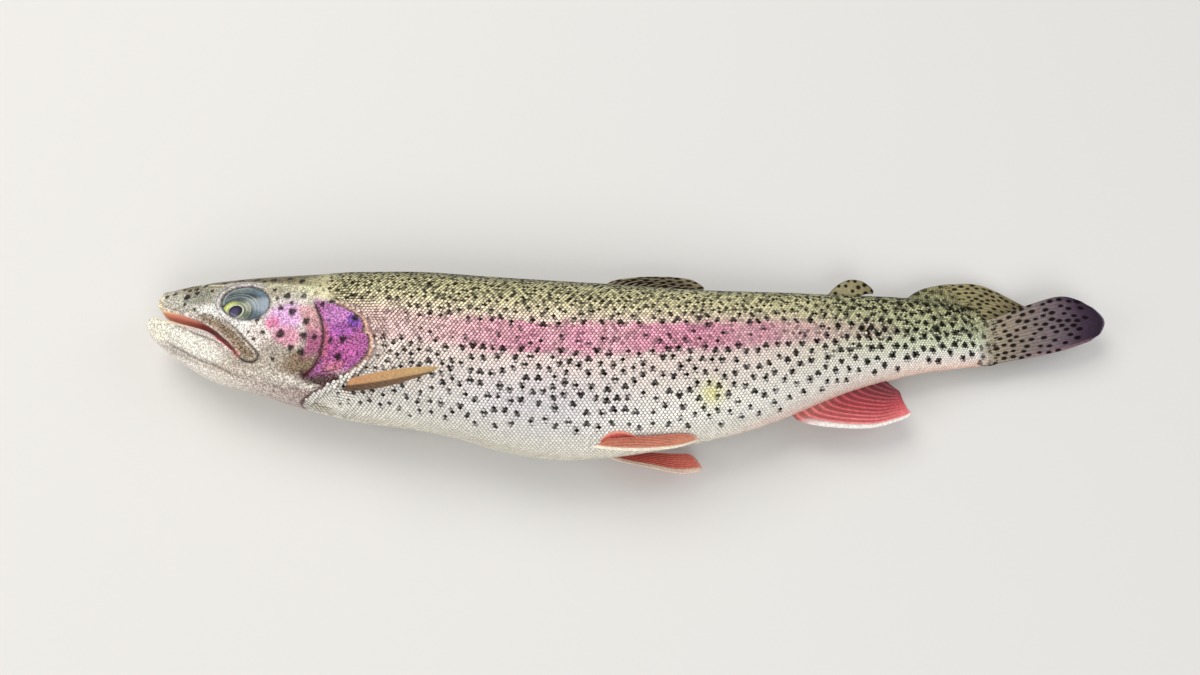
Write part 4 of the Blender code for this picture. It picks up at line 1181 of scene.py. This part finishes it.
def finSheet(fin, u, v):
    # u runs from the leading to the trailing edge, v from the root to the rim
    def rail(name, t):
        return curveAt(fin[name], np.clip(t, 0, 1) * (len(fin[name]) - 1))

    w = u[..., None]
    spot = rail("lead", v) * (1 - w) + rail("trail", v) * w
    last = [(rail(name, np.array([1.0])) - rail(name, np.array([0.8])))[0] for name in ("lead", "trail")]
    out = unit(last[0] * (1 - w) + last[1] * w)
    return spot + out * (fin["round"] * 4 * u * (1 - u) * v**3)[..., None]


def rayRidge(count, u, v):
    # rays that fork twice on their way out
    part = (u * count) % 1 - 0.5
    first, second = 0.235 * ease(0.25, 0.9, v), 0.11 * ease(0.62, 1.0, v)
    forks = [bell((part - a * first - b * second) / (0.20 - 0.09 * v)) for a in (-1, 1) for b in (-1, 1)]
    return np.max(forks, axis=0) * (count > 0)


def scatterFinSpots(name, u, v, mid, rng):
    # spots on a fin: place, and directions along and across the rays in parts of the spot's half sizes
    if name not in finForm["spots"]:
        return []
    long, wide, roomLong, roomWide = finForm["spots"][name]
    kept = []
    n, m = u.shape
    for _ in range(finForm["spotTries"]):
        i, j = rng.integers(2, n - 2), rng.integers(3, m - 3)
        if name == "caudal_fin_lower" and v[i, j] > 0.68 + 0.22 * rng.uniform() - 0.10 * (0.5 - u[i, j]):
            continue
        outward = unit(mid[i, j + 1] - mid[i, j - 1])
        sideways = mid[i + 1, j] - mid[i - 1, j]
        sideways = unit(sideways - outward * (sideways @ outward))
        off = np.array([spot[0] for spot in kept]).reshape(-1, 3) - mid[i, j]
        if np.all(np.hypot(off @ outward / roomLong, off @ sideways / roomWide) >= 1):
            kept.append((mid[i, j], outward, sideways, rng.uniform(0.8, 1.12)))
    return [(p, outward / (long * size), sideways / (wide * size)) for p, outward, sideways, size in kept]


def finTint(name, u, v, mid, ridge, rng):
    if name.startswith("caudal_fin"):
        base = fromTable(finForm["bands"][name], v)
        lowEdge = ease(0.09, 0.0, u) * 0.35 * ease(0.4, 0.7, v) * name.endswith("lower")
        tint = paint(mix(base * 0.80, base * 1.12, ridge), ((190, 150, 150), lowEdge),
                     ((150, 132, 150), ease(0.985, 1.0, v) * 0.5))
    elif name == "dorsal_fin":
        tint = paint((38, 32, 27), ((190, 172, 136), ridge * 0.75),
                     ((190, 178, 140), ease(0.10, 0.0, u) * 0.6))
    elif name == "adipose_fin":
        tint = paint((166, 156, 118), ((140, 130, 94), ease(0.2, 0.9, v)),
                     ((52, 46, 30), np.maximum(ease(0.90, 0.99, v), ease(0.06, 0.01, u)) * 0.7))
    elif name == "anal_fin":
        base = paint((232, 122, 122), ((194, 84, 90), ease(0.1, 0.5, u)),
                     ((112, 62, 66), ease(0.45, 0.95, u) * 0.85),
                     ((236, 150, 130), ease(0.25, 0.0, v) * ease(0.6, 0.2, u) * 0.6))
        tint = paint(mix(base * 0.55, base * 1.18, ridge),
                     ((250, 242, 236), ease(0.13, 0.06, u) * ease(0.12, 0.35, v)),
                     ((240, 206, 200), ease(0.96, 1.0, v) * 0.5 * ease(0.7, 0.1, u)))
    elif name.startswith("pelvic"):
        far = name.endswith("right")
        web, ray = ((170, 56, 52), (250, 142, 122)) if far else ((172, 84, 66), (240, 168, 134))
        tint = paint(web, (ray, ridge),
                     ((190, 96, 84), ease(0.5, 0.95, u) * 0.4),
                     ((252, 242, 220), ease(0.27, 0.14, u) * ease(0.02, 0.15, v) * (0.75 if far else 1)),
                     ((236, 196, 188), ease(0.95, 1.0, v) * 0.5))
    else:
        # pectoral fins: a gold leading strip, and the trailing part painted dark as the shade under the fin
        gold = paint((224, 168, 120), ((212, 176, 122), ease(0.1, 0.9, v)))
        tint = mix(paint((74, 56, 48), ((170, 134, 102), ridge * 0.75)),
                   gold * (0.74 + 0.32 * ridge)[..., None], ease(0.62, 0.46, u - 0.10 * v))
    joints = 0.5 + 0.5 * np.sin(v * 95 + 2.2 * np.sin(u * 31))
    tint = tint * (0.92 + 0.12 * joints * ridge)[..., None]
    for place, outward, sideways in scatterFinSpots(name, u, v, mid, rng):
        reach = np.hypot((mid - place) @ outward, (mid - place) @ sideways)
        tint = paint(tint, ((14, 10, 10), ease(1.2, 0.8, reach) * 0.96))
    return tint


def buildFin(name, seed):
    fin = fins[name]
    rayed = fin["rays"] > 0
    n, m = fin.get("grid", (112, 70))
    u, v = np.meshgrid(np.linspace(0, 1, n + 1), np.linspace(0, 1, m + 1), indexing="ij")
    ridge = rayRidge(fin["rays"], u, v)
    corner = 1 - ease(0, 0.14, np.minimum(u, 1 - u))
    reach = v * (1 - 0.045 * corner**2) * (1 - 0.006 * (1 - ridge) * ease(0.8, 1.0, v) * rayed)
    mid = finSheet(fin, u, reach)
    normal = unit(np.cross(np.gradient(mid, axis=0), np.gradient(mid, axis=1)))
    flip = normal[..., 2].mean() < 0
    high = (finForm["ray"] - finForm["web"]) * (0.6 if name.startswith("caudal") else 1)
    thick = finForm["web"] + high * ridge * (1 - 0.45 * v)
    thick = np.maximum(thick, finForm["root"] * ease(0.5, 0.0, v))
    thick = np.maximum(thick, finForm["lead"] * ease(0.07, 0.02, u) * (1 - 0.5 * v))
    thick = thick if rayed else finForm["plain"]
    taper = np.minimum(ease(0, 0.03, u), ease(1, 0.97, u)) * ease(1.0, 0.97, v)
    thick = (finForm["edge"] + (thick - finForm["edge"]) * taper)[..., None] * (-1 if flip else 1)
    points = np.concatenate(((mid + normal * thick).reshape(-1, 3), (mid - normal * thick).reshape(-1, 3)))
    points[:, 2] = np.maximum(points[:, 2], body["clear"])
    at = np.arange((n + 1) * (m + 1)).reshape(n + 1, m + 1)
    sheet = np.stack((at[:-1, :-1], at[1:, :-1], at[1:, 1:], at[:-1, 1:]), -1).reshape(-1, 4)
    rim = np.concatenate((at[:, 0], at[-1, 1:], at[::-1, -1][1:], at[0, ::-1][1:-1]))
    turn = np.roll(rim, -1)
    wall = np.stack((rim, rim + at.size, turn + at.size, turn), 1)
    faces = np.concatenate((sheet, (sheet + at.size)[:, ::-1], wall))
    tint = finTint(name, u, v, mid, ridge, np.random.default_rng(seed)).reshape(-1, 3)
    faces = faces[:, ::-1] if flip else faces
    return makeObject(name + "_rays", points, [faces], np.concatenate((tint, tint)), 0.35)


finFinish = speckledMaterial("fin_membrane", gloss=(0.42, 0.18, 0.22), cell=0.9, contrast=0.45,
                             bumpDepth=0.12)
for number, name in enumerate(fins):
    piece = buildFin(name, seeds["fins"] + number)
    piece.data.materials.append(finFinish)
    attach(piece, "root")
    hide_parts(name)
print("fins are spread")

# small scales of the tail stalk run out over the root of the tail fin
fan = {"pitch": 0.76, "gap": 0.72, "size": 0.78, "spotGap": 2.6, "spot": 1.30, "high": 0.66}


def fanScales(name, up, rng):
    fin = fins[name]
    lower = name.endswith("lower")
    edge = np.subtract(*finSheet(fin, np.array([0.0, 1.0]), np.array([0.06, 0.06])))
    rails = [finSheet(fin, np.full(30, side), np.linspace(0, 1, 30)) for side in (0.0, 1.0)]
    lengths = [np.linalg.norm(np.diff(rail, axis=0), axis=1).sum() for rail in rails]
    count = int(np.linalg.norm(edge) / fan["gap"])
    step, shift, before = coat["pitch"] * fan["pitch"], 0.0, None
    found = []
    for k in range(count):
        u = (k + 0.5) / count
        # the root line is slanted, so each column starts where the rows stay staggered
        here, further = finSheet(fin, np.array([u, u]), np.array([0.0, 0.01]))
        shift += (here - before) @ unit(further - here) if k else 0.0
        before = here
        length = lengths[0] * (1 - u) + lengths[1] * u
        end = ((17.0 if lower else 12.0 + 12.0 * (1 - u)) + rng.uniform(-3.5, 2.5)) / length
        v = ((np.arange(-1, 60) + 0.5 * (k % 2)) * step - shift % step) / length
        v = v[v < end]
        found.append((np.full(len(v), u), v, np.full(len(v), end)))
    u, v, end = (np.concatenate(p) for p in zip(*found))
    e, onFin = 0.01, np.maximum(v, 0)
    middle = finSheet(fin, u, onFin)
    lie = unit(finSheet(fin, u, onFin + e) - middle)
    before, after = np.maximum(u - e, 0), np.minimum(u + e, 1)
    across = finSheet(fin, after, onFin) - finSheet(fin, before, onFin)
    normal = unit(np.cross(lie, across))
    normal *= np.where(normal[:, 2:] * up < 0, -1, 1)
    room = np.linalg.norm(across, axis=1) / (after - before) / count
    length = lengths[0] * (1 - u) + lengths[1] * u
    off = np.maximum(finForm["web"], finForm["root"] * ease(0.5, 0.0, v)) * 0.95
    root = middle + lie * (np.minimum(v, 0) * length)[:, None] + normal * off[:, None]
    across = np.cross(normal, lie) * (room / coat["rowGap"] / fan["size"])[:, None]
    q = (0.85 - 0.95 * u) if lower else (-0.9 + 0.8 * u)
    tones = coatColours(np.full(len(v), 150.0), 0 * v, q, 0)
    skinTone = fromTable(finForm["bands"][name], onFin)
    fade = ease(0.35, 1.0, v / end)
    bright = mix(tones[0], skinTone, fade) * glintOf(q, rng)
    rim = mix(tones[1], skinTone * 0.55, fade)
    size = fan["size"] * (1 - 0.15 * fade) * rng.uniform(0.94, 1.06, len(v))
    marks = []
    for k in rng.permutation(len(root)):
        if all(np.linalg.norm(root[k] - p) > fan["spotGap"] for p in marks):
            marks.append(root[k])
    near = np.min([np.linalg.norm(root - p, axis=1) for p in marks], axis=0)
    dark = ease(fan["spot"], 0.75, near) * rng.uniform(0.7, 0.95, len(v))
    centre = np.stack((0.93 + 0.05 * np.clip(v / 0.3, 0, 1), 0.5 + 0.15 * q + 0.1 * lower), -1)
    return root, lie, across, normal, fan["high"] - 0.42 * fade, size, bright, rim, dark, centre


tailRng = np.random.default_rng(seeds["tailScales"])
fans = [fanScales(name, up, tailRng) for name in ("caudal_fin_upper", "caudal_fin_lower") for up in (1, -1)]
*places, size, bright, rim, fanDark, centre = (np.concatenate(part) for part in zip(*fans))
looks = (size, bright, rim, lambda u, v: fanDark[:, None] + 0 * u, centre)
coatPieces.append(layScales("scales_tail_fin", places, looks, tailRng))
for coatPiece in coatPieces:
    coatPiece.data.materials.append(scaleFinish)
    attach(coatPiece, "root")

# a slender red lobe lies along the body above each pelvic fin
lobe = {"from": (11.8, -29.0), "to": (25.6, -28.0), "bulge": 1.9, "halfWidth": 1.05, "halfThick": 0.30,
        "proud": 0.12, "rings": 50, "spokes": 28}


def buildLobe(side):
    rings, spokes = lobe["rings"], lobe["spokes"]
    t = np.linspace(0.01, 0.99, rings)
    x = lobe["from"][0] + (lobe["to"][0] - lobe["from"][0]) * t
    y = lobe["from"][1] + (lobe["to"][1] - lobe["from"][1]) * t + lobe["bulge"] * np.sin(np.pi * t ** 0.8)
    angle = onSide(angleAt(x, y), side)
    spine, normal = bodyPoint(x, angle, -lobe["proud"]), bodyNormal(x, angle)
    across = np.cross(normal, unit(np.gradient(spine, axis=0)))
    full = np.sin(np.pi * t ** 0.75) ** 0.7
    a = np.arange(spokes) * 2 * np.pi / spokes
    wide = (full * lobe["halfWidth"])[:, None] * np.cos(a)
    high = (full ** 0.5 * lobe["halfThick"])[:, None] * np.sin(a)
    points = spine[:, None] + wide[..., None] * across[:, None] + high[..., None] * normal[:, None]
    points = np.vstack((points.reshape(-1, 3), spine[:1], spine[-1:]))
    points[:, 2] = np.maximum(points[:, 2], body["clear"])
    at = np.arange(rings * spokes).reshape(rings, spokes)
    tint = paint((196, 84, 76), ((236, 150, 128), ease(-0.2, 1.0, np.cos(np.tile(a, rings)))))
    return makeObject("pelvic_lobe_left" if side > 0 else "pelvic_lobe_right", points,
                      wrap(at, (at.size, at.size + 1), True), np.vstack((tint, tint[:1], tint[-1:])), 0.5)


for side in (1, -1):
    piece = buildLobe(side)
    piece.data.materials.append(finFinish)
    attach(piece, "root")

# tongue: a low tapered pad on the floor of the mouth
tongue = {"tip": -143.0, "root": -121.0, "halfWidth": 4.6, "high": 0.9, "underLip": 1.6,
          "rings": 60, "spokes": 48}


def buildTongue():
    rings, spokes = tongue["rings"], tongue["spokes"]
    t = np.linspace(0.02, 0.98, rings)[:, None]
    a = np.arange(spokes) * 2 * np.pi / spokes
    x = tongue["tip"] + (tongue["root"] - tongue["tip"]) * t + 0 * a
    full = np.sqrt(np.minimum(1, t / 0.35)) * np.sqrt(np.minimum(1, (1 - t) / 0.25))
    lip = np.interp(x, *lines["lowerLip"].T)
    z = along(body["middle"], x) + tongue["halfWidth"] * full * np.cos(a)
    groove = 1 - 0.25 * (np.sin(a) > 0) * bell(np.cos(a), 0.3)
    y = lip - tongue["underLip"] + tongue["high"] * full * np.sin(a) * groove
    points = np.stack((x, y, z), -1)
    points = np.vstack((points.reshape(-1, 3), points[0].mean(0), points[-1].mean(0)))
    at = np.arange(rings * spokes).reshape(rings, spokes)
    tint = paint((226, 168, 150), ((190, 90, 90), ease(-138, -122, points[:, 0])))
    return makeObject("tongue_pad", points, wrap(at, (at.size, at.size + 1), False), tint, 0.3)


tonguePiece = buildTongue()
tonguePiece.data.materials.append(speckledMaterial("wet_mouth", gloss=(0.25, 0.8, 0.1), cell=0.7,
                                                   contrast=0.3, bumpDepth=0.1))
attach(tonguePiece, "root")
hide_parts("tongue")
